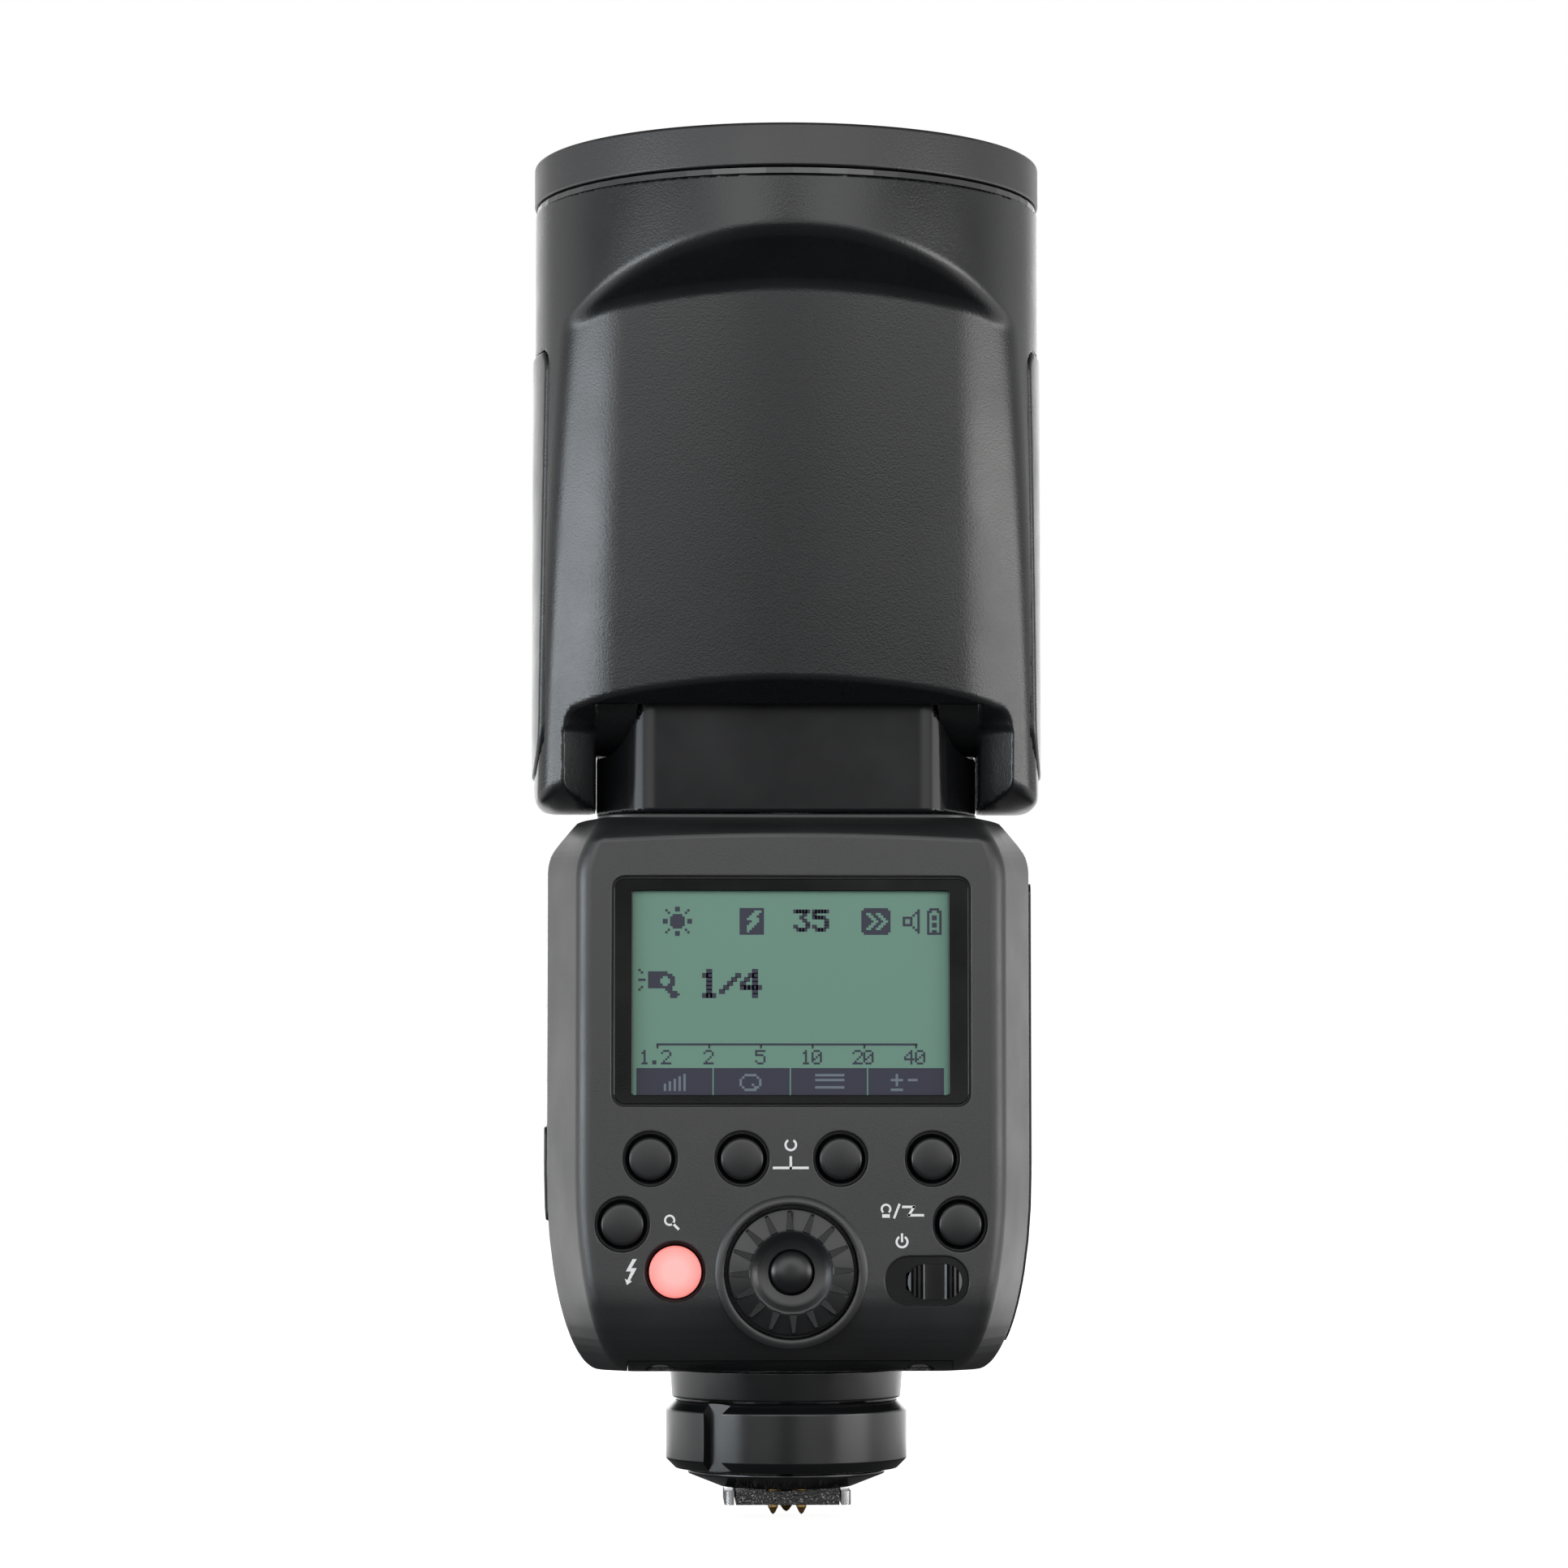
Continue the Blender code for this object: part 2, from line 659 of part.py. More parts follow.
def lock_ring():
    bore = CORE_RADIUS + RUN
    cam_low = LOCK_PIN_RISE - LOCK_TRAVEL - LOCK_ARM
    cam_high = LOCK_PIN_RISE + LOCK_ARM
    profile = [
        (LOCK_RING_RADIUS - LOCK_RING_CHAMFER, LOCK_RING_TOP),
        (LOCK_RING_RADIUS, LOCK_RING_TOP - LOCK_RING_CHAMFER),
        (LOCK_RING_RADIUS, LOCK_RING_BOTTOM + LOCK_RING_CHAMFER),
        (LOCK_RING_RADIUS - LOCK_RING_CHAMFER, LOCK_RING_BOTTOM),
        (bore, LOCK_RING_BOTTOM),
        (bore, cam_low),
        (bore + CAM_DEPTH, cam_low),
        (bore + CAM_DEPTH, cam_high),
        (bore, cam_high),
        (bore, LOCK_RING_TOP),
    ]
    ring = turned("lock_ring", profile, "gloss", 40, (0, 0, 0))
    notches = []
    for turn in (0, math.pi):
        angle = LOCK_NOTCH_ANGLE + turn
        low = (-LOCK_NOTCH_WIDTH / 2, -LOCK_RING_RADIUS - OVERCUT, LOCK_RING_BOTTOM - OVERCUT)
        high = (LOCK_NOTCH_WIDTH / 2, -LOCK_RING_RADIUS + LOCK_NOTCH_DEPTH, LOCK_RING_TOP + OVERCUT)
        notch = box(low, high)
        bmesh.ops.rotate(notch, matrix=Matrix.Rotation(angle, 3, "Z"), verts=notch.verts)
        notches.append(notch)
    cut(ring, several(notches), "notches")


def lock_pin():
    """Vertical pin with a side arm that runs in the lock ring's cam groove."""
    origin = (0, LOCK_PIN_Y, LOCK_PIN_RISE)
    low = (0, LOCK_PIN_Y, FIT)
    top = (0, LOCK_PIN_Y, LOCK_PIN_RISE + LOCK_ARM / 2)
    pin = add_part("lock_pin", rod(LOCK_PIN_RADIUS, low, top, 16), "steel", origin)
    half = LOCK_ARM / 2
    arm_end = CORE_RADIUS + RUN + CAM_DEPTH - FIT
    arm_low = (-half, LOCK_PIN_Y, LOCK_PIN_RISE - half)
    join(pin, box(arm_low, (half, arm_end, LOCK_PIN_RISE + half - FIT)), "arm")


def shoe_neck():
    profile = [
        (NECK_RADIUS, NECK_TOP),
        (NECK_RADIUS - NECK_TAPER, NECK_BOTTOM),
        (CORE_RADIUS, NECK_BOTTOM),
        (CORE_RADIUS, SHOE_BASE_TOP + FIT),
        (CABLE_RADIUS, SHOE_BASE_TOP + FIT),
        (CABLE_RADIUS, NECK_TOP),
    ]
    neck = turned("shoe_neck", profile, "gloss", 36, (0, 0, 0))
    bore = LOCK_PIN_RADIUS + FIT
    slot_low = SHOE_BASE_TOP - OVERCUT
    slot_high = LOCK_PIN_RISE + LOCK_ARM
    half = LOCK_ARM / 2 + FIT
    slot = box((-half, LOCK_PIN_Y, slot_low), (half, CORE_RADIUS + RUN, slot_high))
    cut(neck, upright(bore, 0, LOCK_PIN_Y, slot_low, slot_high, 16), "pin_bore")
    cut(neck, slot, "arm_slot")


# Body outside, as rings drawn in by curved edges
def quarter_inset(rise, height, depth):
    """How far a quarter-ellipse edge draws a wall in, at a rise above the edge's foot."""
    share = min(1.0, max(0.0, 1.0 - rise / height))
    return depth * (1.0 - math.sqrt(1.0 - share * share))


def top_inset(drop, height):
    """How far the body's rounded chamfer draws a wall in, at a drop below the top."""
    share = drop / height
    for (upper, inset_upper), (lower, inset_lower) in zip(TOP_EDGE[1:], TOP_EDGE):
        if upper <= share <= lower:
            blend = (share - upper) / (lower - upper)
            return TOP_INSET * (inset_upper + (inset_lower - inset_upper) * blend)
    return 0.0


def body_ring(z, wall=0.0):
    """Section of the body at a height, drawn in by a wall, from the panel round to the front."""
    rise = z - BODY_BOTTOM
    side = quarter_inset(rise, SIDE_CURVE_HEIGHT, SIDE_CURVE_DEPTH)
    side += top_inset(BODY_TOP - z, TOP_SIDE_HEIGHT)
    top = top_inset(BODY_TOP - z, TOP_BACK_HEIGHT)
    back = quarter_inset(rise, BACK_CURVE_HEIGHT, BACK_CURVE_DEPTH) + top
    front = quarter_inset(rise, FRONT_CURVE_HEIGHT, FRONT_CURVE_DEPTH) + top
    half = BODY_WIDTH / 2 - side - wall
    panel = PANEL_WIDTH / 2 - side - wall
    rear = -(BODY_BACK - back - wall)
    nose = BODY_FRONT - front - wall
    right = [
        (panel, rear),
        (half - SHOULDER_STEP, -SPLIT_DEPTH),
        (half, nose - FRONT_CHAMFER),
        (half - FRONT_CHAMFER, nose),
    ]
    left = [(-x, y) for x, y in reversed(right)]
    edge = max(PANEL_EDGE_RADIUS - wall, SINK)
    radii = [edge, SHOULDER_RADIUS, FRONT_RADIUS, FRONT_RADIUS]
    return [(x, y, z) for x, y in rounded(right + left, radii + radii[::-1], BODY_ARC_STEPS)]


def body_levels():
    """Heights at which the body's outline changes."""
    heights = (TOP_SIDE_HEIGHT, TOP_BACK_HEIGHT)
    levels = {BODY_TOP - share * height for height in heights for share, _ in TOP_EDGE}
    for step in range(7):
        levels.add(BODY_BOTTOM + BACK_CURVE_HEIGHT * (1 - math.sin(step * math.pi / 12)))
    for step in range(4):
        levels.add(BODY_BOTTOM + SIDE_CURVE_HEIGHT * (1 - math.sin(step * math.pi / 15)))
    return sorted(levels)


def body_solid(grow=0.0):
    return loft([body_ring(z, -grow) for z in body_levels()])


def body_cavity():
    low, high = BODY_BOTTOM + BODY_WALL, BODY_TOP - BODY_WALL
    levels = [low] + [z for z in body_levels() if low + SINK < z < high - SINK][::2] + [high]
    return loft([body_ring(z, BODY_WALL) for z in levels])


def base_opening(gap):
    """Space of the base plate in the bottom wall."""
    half = BASE_PLATE_WIDTH / 2 + gap
    low = (-half, -BODY_BACK - OVERCUT, BODY_BOTTOM - OVERCUT)
    return box(low, (half, BASE_PLATE_FRONT + gap, BODY_BOTTOM + BASE_PLATE_THICK + gap))


def base_plate():
    plate = add_part("base_plate", body_solid(), "shell")
    keep(plate, base_opening(0.0), "outline")
    high = BODY_BOTTOM + BASE_PLATE_THICK + OVERCUT
    low = BODY_BOTTOM - OVERCUT
    drills = [upright(CABLE_RADIUS, 0, 0, low, high)]
    for side in (-1, 1):
        drills.append(upright(BASE_SCREW_HEAD + FIT, side * BASE_SCREW_X, BASE_SCREW_Y, low, high, 16))
    cut(plate, several(drills), "holes")
    head_top = BODY_BOTTOM + BASE_PLATE_THICK
    head_low = head_top - BASE_PLATE_THICK / 2
    for name, side in (("base_screw_left", -1), ("base_screw_right", 1)):
        profile = [
            (0, head_top + BASE_SCREW_LENGTH),
            (BASE_SCREW_SHANK, head_top + BASE_SCREW_LENGTH - BASE_SCREW_SHANK / 2),
            (BASE_SCREW_SHANK, head_top),
            (BASE_SCREW_HEAD, head_top),
            (BASE_SCREW_HEAD, head_low),
            (0, head_low),
        ]
        turned(name, profile, "steel", 16, (side * BASE_SCREW_X, BASE_SCREW_Y, 0))


# Rear cover and what shows in it
def panel_rod(x, z, radius, outside, inside, steps=24):
    """Cylinder square to the control panel, between two depths measured outwards from it."""
    return rod(radius, (x, PANEL_Y - outside, z), (x, PANEL_Y - inside, z), steps)


def panel_prism(outline, outside, inside):
    return prism(outline, "Y", PANEL_Y - outside, PANEL_Y - inside)


def key_holes():
    """Place and radius of each key's hole."""
    holes = [(x, SOFT_KEY_Z, KEY_HOLE_RADIUS) for x in SOFT_KEY_XS]
    holes += [(x, SIDE_KEY_Z, KEY_HOLE_RADIUS) for x in (-SIDE_KEY_X, SIDE_KEY_X)]
    holes.append((TEST_KEY_X, TEST_KEY_Z, TEST_HOLE_RADIUS))
    return holes


def power_outlines():
    """Outlines of the slider's recess and of the slot that its stem runs in."""
    recess = rounded_box((POWER_X, POWER_Z), POWER_SLOT_LENGTH, POWER_SLOT_WIDTH, POWER_SLOT_WIDTH / 2, 6)
    slot_length = POWER_STEM + POWER_TRAVEL + 2 * FIT
    slot_x = power_knob_x() - POWER_TRAVEL / 2
    slot = rounded_box((slot_x, POWER_Z), slot_length, POWER_STEM + 2 * FIT, FIT)
    return recess, slot


def power_knob_x():
    """Middle of the knob at rest, at the right end of its travel."""
    return POWER_X + POWER_TRAVEL / 2


def window_outline(gap):
    """Outline of the display window, grown by a gap."""
    corner = max(WINDOW_CORNER + gap, FIT)
    return rounded_box((0, WINDOW_Z), WINDOW_WIDTH + 2 * gap, WINDOW_HEIGHT + 2 * gap, corner)


def rear_cover():
    cover = add_part("rear_cover", body_solid(), "panel")
    cut(cover, body_cavity(), "inside")
    far = BODY_WIDTH
    split = box((-far, -SPLIT_DEPTH - FIT / 2, -far), (far, far, BODY_TOP + far))
    cut(cover, split, "split")
    cut(cover, base_opening(FIT), "base_plate_opening")
    boss_end = DIAL_WELL_DEPTH + DIAL_FLOOR
    bezel = DIAL_WELL_RADIUS + DIAL_BEZEL_WIDTH
    join(cover, panel_rod(0, DIAL_Z, bezel, DIAL_BEZEL_RISE, -boss_end, 40), "dial_boss")
    drills = [panel_rod(0, DIAL_Z, DIAL_WELL_RADIUS, OVERCUT, -DIAL_WELL_DEPTH, 40)]
    drills += [panel_rod(x, z, radius, OVERCUT, -BODY_WALL - OVERCUT, 20) for x, z, radius in key_holes()]
    cut(cover, several(drills), "wells")
    hub_hole = DIAL_HUB_RADIUS + FIT
    cut(cover, panel_rod(0, DIAL_Z, hub_hole, 0, -boss_end - OVERCUT), "hub_hole")
    cut(cover, panel_prism(window_outline(FIT), OVERCUT, -WINDOW_THICK - FIT), "window_seat")
    cut(cover, panel_prism(window_outline(-WINDOW_LEDGE), 0, -BODY_WALL - OVERCUT), "window_hole")
    recess, slot = power_outlines()
    cut(cover, panel_prism(recess, OVERCUT, -POWER_SLOT_DEPTH), "power_recess")
    cut(cover, panel_prism(slot, 0, -BODY_WALL - OVERCUT), "power_slot")


def display():
    add_part("display_window", panel_prism(window_outline(0.0), 0, -WINDOW_THICK), "gloss")
    width = WINDOW_WIDTH - 2 * DISPLAY_MARGIN
    height = WINDOW_HEIGHT - 2 * DISPLAY_MARGIN
    low = (-width / 2, PANEL_Y + BODY_WALL + FIT, WINDOW_Z - height / 2)
    high = (width / 2, PANEL_Y + BODY_WALL + FIT + DISPLAY_THICK, WINDOW_Z + height / 2)
    add_part("display_panel", box(low, high), "display")


def key_profile(radius, hole, collar):
    """Domed cap, recessed skirt, collar behind the panel wall, and stem."""
    skirt = hole - FIT
    collar_top = -BODY_WALL - FIT
    collar_low = collar_top - KEY_COLLAR_THICK
    stem_end = -(CONTROL_BOARD_DEPTH - KEY_TRAVEL - FIT)
    return [
        (0, KEY_DOME),
        (radius * 0.55, KEY_DOME * 0.88),
        (radius * 0.88, KEY_DOME * 0.50),
        (radius, 0),
        (radius, -KEY_SKIRT_DROP),
        (skirt, -KEY_SKIRT_DROP),
        (skirt, collar_top),
        (collar, collar_top),
        (collar, collar_low),
        (KEY_STEM_RADIUS, collar_low),
        (KEY_STEM_RADIUS, stem_end),
        (0, stem_end),
    ]


def keys():
    plain = key_profile(KEY_RADIUS, KEY_HOLE_RADIUS, KEY_COLLAR_RADIUS)
    for number, x in enumerate(SOFT_KEY_XS, 1):
        turned(f"soft_key_{number}", plain, "gloss", KEY_STEPS, (x, PANEL_Y, SOFT_KEY_Z), TO_PANEL)
    turned("function_key", plain, "gloss", KEY_STEPS, (-SIDE_KEY_X, PANEL_Y, SIDE_KEY_Z), TO_PANEL)
    turned("lamp_key", plain, "gloss", KEY_STEPS, (SIDE_KEY_X, PANEL_Y, SIDE_KEY_Z), TO_PANEL)
    collar = TEST_HOLE_RADIUS + KEY_COLLAR_RADIUS - KEY_HOLE_RADIUS
    test = key_profile(TEST_KEY_RADIUS, TEST_HOLE_RADIUS, collar)
    turned("test_key", test, "red", KEY_STEPS, (TEST_KEY_X, PANEL_Y, TEST_KEY_Z), TO_PANEL)


def dial_rib(number):
    """One of the ribs round the dial's sloping face."""
    half = DIAL_RIB_WIDTH / 2
    inner, outer = DIAL_DISH_RADIUS * 1.12, DIAL_RADIUS * 0.97
    top_in = DIAL_RISE - DIAL_DISH_DROP * 0.2 + DIAL_RIB_RISE * 0.5
    top_out = DIAL_RISE - DIAL_RIM_DROP * 0.8 + DIAL_RIB_RISE
    rib = prism([(inner, top_in), (outer, top_out), (outer, -SINK), (inner, -SINK)], "X", -half, half)
    turn = Matrix.Rotation(number * 2 * math.pi / DIAL_RIBS, 4, "Z")
    place = Matrix.Translation((0, PANEL_Y, DIAL_Z)) @ Matrix.Rotation(math.pi / 2, 4, "X")
    bmesh.ops.transform(rib, matrix=place @ turn, verts=rib.verts)
    return rib


def control_dial():
    well_floor = -DIAL_WELL_DEPTH
    lip_top = well_floor - DIAL_FLOOR - FIT
    lip_low = lip_top - DIAL_LIP
    profile = [
        (SET_BORE, DIAL_RISE - DIAL_DISH_DROP),
        (DIAL_DISH_RADIUS * 0.94, DIAL_RISE - DIAL_DISH_DROP * 0.2),
        (DIAL_DISH_RADIUS, DIAL_RISE),
        (DIAL_DISH_RADIUS * 1.08, DIAL_RISE - DIAL_DISH_DROP * 0.2),
        (DIAL_RADIUS * 0.96, DIAL_RISE - DIAL_RIM_DROP * 0.8),
        (DIAL_RADIUS, DIAL_RISE - DIAL_RIM_DROP),
        (DIAL_RADIUS, well_floor + FIT),
        (DIAL_HUB_RADIUS, well_floor + FIT),
        (DIAL_HUB_RADIUS, lip_top),
        (DIAL_HUB_RADIUS + DIAL_LIP, lip_top),
        (DIAL_HUB_RADIUS + DIAL_LIP, lip_low),
        (SET_BORE, lip_low),
    ]
    dial = turned("control_dial", profile, "gloss", 32, (0, PANEL_Y, DIAL_Z), TO_PANEL)
    join(dial, several([dial_rib(number) for number in range(DIAL_RIBS)]), "ribs")
    collar_top = lip_low - FIT
    collar_low = collar_top - KEY_COLLAR_THICK
    key = [
        (0, SET_KEY_RISE),
        (SET_KEY_RADIUS * 0.85, SET_KEY_RISE * 0.8),
        (SET_KEY_RADIUS, SET_KEY_RISE * 0.35),
        (SET_KEY_RADIUS, -KEY_SKIRT_DROP),
        (KEY_STEM_RADIUS, -KEY_SKIRT_DROP),
        (KEY_STEM_RADIUS, collar_top),
        (DIAL_HUB_RADIUS, collar_top),
        (DIAL_HUB_RADIUS, collar_low),
        (0, collar_low),
    ]
    turned("set_key", key, "gloss", KEY_STEPS, (0, PANEL_Y, DIAL_Z), TO_PANEL)


def power_slider():
    x = power_knob_x()
    base = -POWER_SLOT_DEPTH + FIT
    outline = rounded_box((x, POWER_Z), POWER_KNOB_LENGTH, POWER_KNOB_WIDTH, POWER_KNOB_WIDTH / 2, 5)
    origin = (x, PANEL_Y, POWER_Z)
    knob = add_part("power_slider", panel_prism(outline, POWER_KNOB_RISE, base), "gloss", origin)
    grips = []
    offset = (POWER_KNOB_LENGTH - POWER_GRIP_LENGTH) / 2 - SINK
    for side in (-1, 1):
        place = (x + side * offset, POWER_Z)
        grip = rounded_box(place, POWER_GRIP_LENGTH, POWER_KNOB_WIDTH * 0.62, POWER_GRIP_LENGTH / 3)
        grips.append(panel_prism(grip, POWER_KNOB_RISE + POWER_GRIP_RISE, 0))
    join(knob, several(grips), "grips")
    foot_top = -BODY_WALL - FIT
    foot_low = foot_top - POWER_STEM / 2
    stem = rounded_box((x, POWER_Z), POWER_STEM, POWER_STEM, FIT)
    join(knob, panel_prism(stem, 0, foot_low + SINK), "stem")
    foot = rounded_box((x, POWER_Z), POWER_STEM * 1.5, POWER_KNOB_WIDTH * 0.7, FIT)
    join(knob, panel_prism(foot, foot_top, foot_low), "foot")


# Body shell with the port cover, battery, sensor window and swivel bush
def port_outline(gap):
    return rounded_box((PORT_Y, PORT_Z), PORT_LENGTH + 2 * gap, PORT_HEIGHT + 2 * gap, PORT_CORNER + gap, 3)


def pack_outline(gap):
    centre = (PACK_Y, PACK_BOTTOM + PACK_HEIGHT / 2)
    return rounded_box(centre, PACK_DEPTH + 2 * gap, PACK_HEIGHT + 2 * gap, PACK_CORNER + gap, 3)


def latch_outline(gap):
    centre = (PACK_Y, PACK_BOTTOM + PACK_HEIGHT - LATCH_DROP)
    return rounded_box(centre, LATCH_WIDTH + 2 * gap, LATCH_HEIGHT + 2 * gap, PORT_CORNER + gap, 3)


def body_shell():
    shell = add_part("body_shell", body_solid(), "shell")
    cut(shell, body_cavity(), "inside")
    far = BODY_WIDTH
    cut(shell, box((-far, -far, -far), (far, -SPLIT_DEPTH + FIT / 2, BODY_TOP + far)), "split")
    cut(shell, base_opening(FIT), "base_plate_opening")
    edge = BODY_WIDTH / 2
    cut(shell, prism(port_outline(FIT), "X", -edge - OVERCUT, -edge + 2 * BODY_WALL), "port_opening")
    cut(shell, prism(pack_outline(FIT), "X", PACK_INNER_X, edge + OVERCUT), "battery_opening")
    seat = rounded_box((0, SENSOR_Z), SENSOR_WIDTH + 2 * FIT, SENSOR_HEIGHT + 2 * FIT, SENSOR_CORNER)
    seat_y = BODY_FRONT - SENSOR_THICK - FIT
    cut(shell, prism(seat, "Y", seat_y, BODY_FRONT + OVERCUT), "sensor_seat")
    bore = SHAFT_RADIUS + RUN + BUSH_WALL + FIT
    cut(shell, upright(bore, 0, 0, BODY_TOP - BODY_WALL - OVERCUT, BODY_TOP + OVERCUT, 32), "swivel_bore")


def sensor_window():
    outline = rounded_box((0, SENSOR_Z), SENSOR_WIDTH, SENSOR_HEIGHT, SENSOR_CORNER - FIT)
    add_part("sensor_window", prism(outline, "Y", BODY_FRONT - SENSOR_THICK, BODY_FRONT), "dark_red")


def ports():
    edge = BODY_WIDTH / 2
    inner = -edge + BODY_WALL
    hinge = (-edge, PORT_Y + PORT_LENGTH / 2, PORT_Z)
    cover = add_part("port_cover", body_solid(PORT_PROUD), "rubber", hinge)
    keep(cover, prism(port_outline(0.0), "X", -edge - OVERCUT, inner), "outline")
    face = inner + FIT + SHOULDER_STEP
    half_l = PORT_LENGTH / 2 - PORT_CORNER
    half_h = PORT_HEIGHT / 2 - PORT_CORNER
    low = (face, PORT_Y - half_l, PORT_Z - half_h)
    high = (face + PORT_BLOCK_DEPTH, PORT_Y + half_l, PORT_Z + half_h)
    block = add_part("port_block", box(low, high), "gloss")
    jack_z = PORT_Z + half_h / 2
    usb_z = PORT_Z - half_h / 2
    deep = face + PORT_BLOCK_DEPTH * 0.8
    socket = rounded_box((PORT_Y, usb_z), 2 * USB_HALF_LENGTH, 2 * USB_HALF_WIDTH, USB_HALF_WIDTH)
    sockets = [rod(JACK_RADIUS, (face - OVERCUT, PORT_Y, jack_z), (deep, PORT_Y, jack_z), 20)]
    sockets.append(prism(socket, "X", face - OVERCUT, deep))
    cut(block, several(sockets), "sockets")


def battery():
    edge = BODY_WIDTH / 2
    middle_z = PACK_BOTTOM + PACK_HEIGHT / 2
    pack = add_part("battery_pack", body_solid(PACK_PROUD), "shell", (edge, PACK_Y, middle_z))
    start = PACK_INNER_X + FIT
    keep(pack, prism(pack_outline(0.0), "X", start, edge + OVERCUT), "outline")
    latch_z = PACK_BOTTOM + PACK_HEIGHT - LATCH_DROP
    pocket_x = edge - LATCH_DEPTH - LATCH_TRAVEL - FIT
    cut(pack, prism(latch_outline(FIT), "X", pocket_x, edge + OVERCUT), "latch_pocket")
    latch = add_part("battery_latch", body_solid(PACK_PROUD), "gloss", (edge, PACK_Y, latch_z))
    keep(latch, prism(latch_outline(0.0), "X", edge - LATCH_DEPTH, edge + OVERCUT), "outline")


def battery_bay():
    """Sleeve round the pack's inner end, with the terminal block on its end wall."""
    outer_gap = RUN + BAY_WALL
    end_x = PACK_INNER_X - TERMINAL_BLOCK - 2 * FIT
    sleeve = prism(pack_outline(outer_gap), "X", end_x - BAY_WALL, end_x + BAY_LENGTH)
    bay = add_part("battery_bay", sleeve, "shell")
    cut(bay, prism(pack_outline(RUN), "X", end_x, end_x + BAY_LENGTH + OVERCUT), "inside")
    half = PACK_DEPTH / 3
    low = (end_x + FIT, PACK_Y - half, PACK_BOTTOM + PACK_CORNER)
    high = (end_x + FIT + TERMINAL_BLOCK - FIT, PACK_Y + half, PACK_BOTTOM + half)
    block = add_part("battery_terminals", box(low, high), "brass")
    grooves = []
    for number in (-1, 0, 1):
        y = PACK_Y + number * half / 2
        side = TERMINAL_BLOCK / 4
        groove_low = (high[0] - side, y - side, low[2] - OVERCUT)
        grooves.append(box(groove_low, (high[0] + OVERCUT, y + side, high[2] + OVERCUT)))
    cut(block, several(grooves), "grooves")


def circuit_board(name, y, low, high):
    """Board standing across the body, with a cable notch in its lower edge."""
    half = BOARD_WIDTH / 2
    board = add_part(name, box((-half, y, low), (half, y + BOARD_THICK, high)), "board")
    notch = box((-DIAL_RADIUS, y - OVERCUT, low - OVERCUT), (DIAL_RADIUS, y + OVERCUT, low + BOARD_THICK))
    cut(board, notch, "cable_notch")


def boards():
    circuit_board("control_board", CONTROL_BOARD_Y, CONTROL_BOARD_LOW, CONTROL_BOARD_HIGH)
    circuit_board("power_board", POWER_BOARD_Y, POWER_BOARD_LOW, POWER_BOARD_HIGH)
    low_z = CONTROL_BOARD_LOW
    high_z = low_z + CAPACITOR_LENGTH
    crimp = CAPACITOR_CRIMP
    profile = [
        (0, high_z),
        (CAPACITOR_RADIUS - crimp, high_z),
        (CAPACITOR_RADIUS, high_z - crimp),
        (CAPACITOR_RADIUS, low_z + 6 * crimp),
        (CAPACITOR_RADIUS - crimp, low_z + 5 * crimp),
        (CAPACITOR_RADIUS, low_z + 4 * crimp),
        (CAPACITOR_RADIUS, low_z),
        (0, low_z),
    ]
    turned("main_capacitor", profile, "gloss", 24, (CAPACITOR_X, CAPACITOR_Y, 0))


# Swivel
def block_outline():
    return rounded_box((0, 0), BLOCK_WIDTH, BLOCK_DEPTH, BLOCK_CORNER, 5)


def swivel(axis):
    solid = prism(block_outline(), "Z", TURNTABLE_BOTTOM, TURNTABLE_TOP)
    plate = add_part("turntable_plate", solid, "shell", (0, 0, TURNTABLE_BOTTOM), axis)
    bore = SHAFT_RADIUS + RUN
    cut(plate, upright(bore, 0, 0, TURNTABLE_BOTTOM - OVERCUT, TURNTABLE_TOP + OVERCUT, 32), "shaft_hole")
    bush_outer = bore + BUSH_WALL
    wall_low = BODY_TOP - BODY_WALL
    flange_low = wall_low - FIT - BUSH_FLANGE_THICK
    bush = [
        (bush_outer, BODY_TOP),
        (bush_outer, wall_low - FIT),
        (bush_outer + BUSH_FLANGE, wall_low - FIT),
        (bush_outer + BUSH_FLANGE, flange_low),
        (bore, flange_low),
        (bore, BODY_TOP),
    ]
    turned("swivel_bush", bush, "white", 32, (0, 0, 0))
    nut_low = NUT_BOTTOM
    nut_top = nut_low + NUT_HEIGHT
    shaft_top = BLOCK_BOTTOM + SHAFT_RISE
    tube = [
        (SHAFT_RADIUS, shaft_top),
        (SHAFT_RADIUS, nut_low),
        (SHAFT_RADIUS - SHAFT_WALL, nut_low),
        (SHAFT_RADIUS - SHAFT_WALL, shaft_top),
    ]
    turned("swivel_shaft", tube, "steel", 32, (0, 0, 0), parent=axis)
    nut_bore = SHAFT_RADIUS + FIT
    nut = [
        (nut_bore + NUT_WALL, nut_top),
        (nut_bore + NUT_WALL, nut_low),
        (nut_bore, nut_low),
        (nut_bore, nut_top),
    ]
    turned("swivel_nut", nut, "steel", 32, (0, 0, 0), parent=axis)


def hinge_rod(radius, side, inner, outer, steps=24):
    """Cylinder on the tilt axis, on the left (-1) or right (1) of the middle."""
    return rod(radius, (side * inner, 0, TILT_Z), (side * outer, 0, TILT_Z), steps)


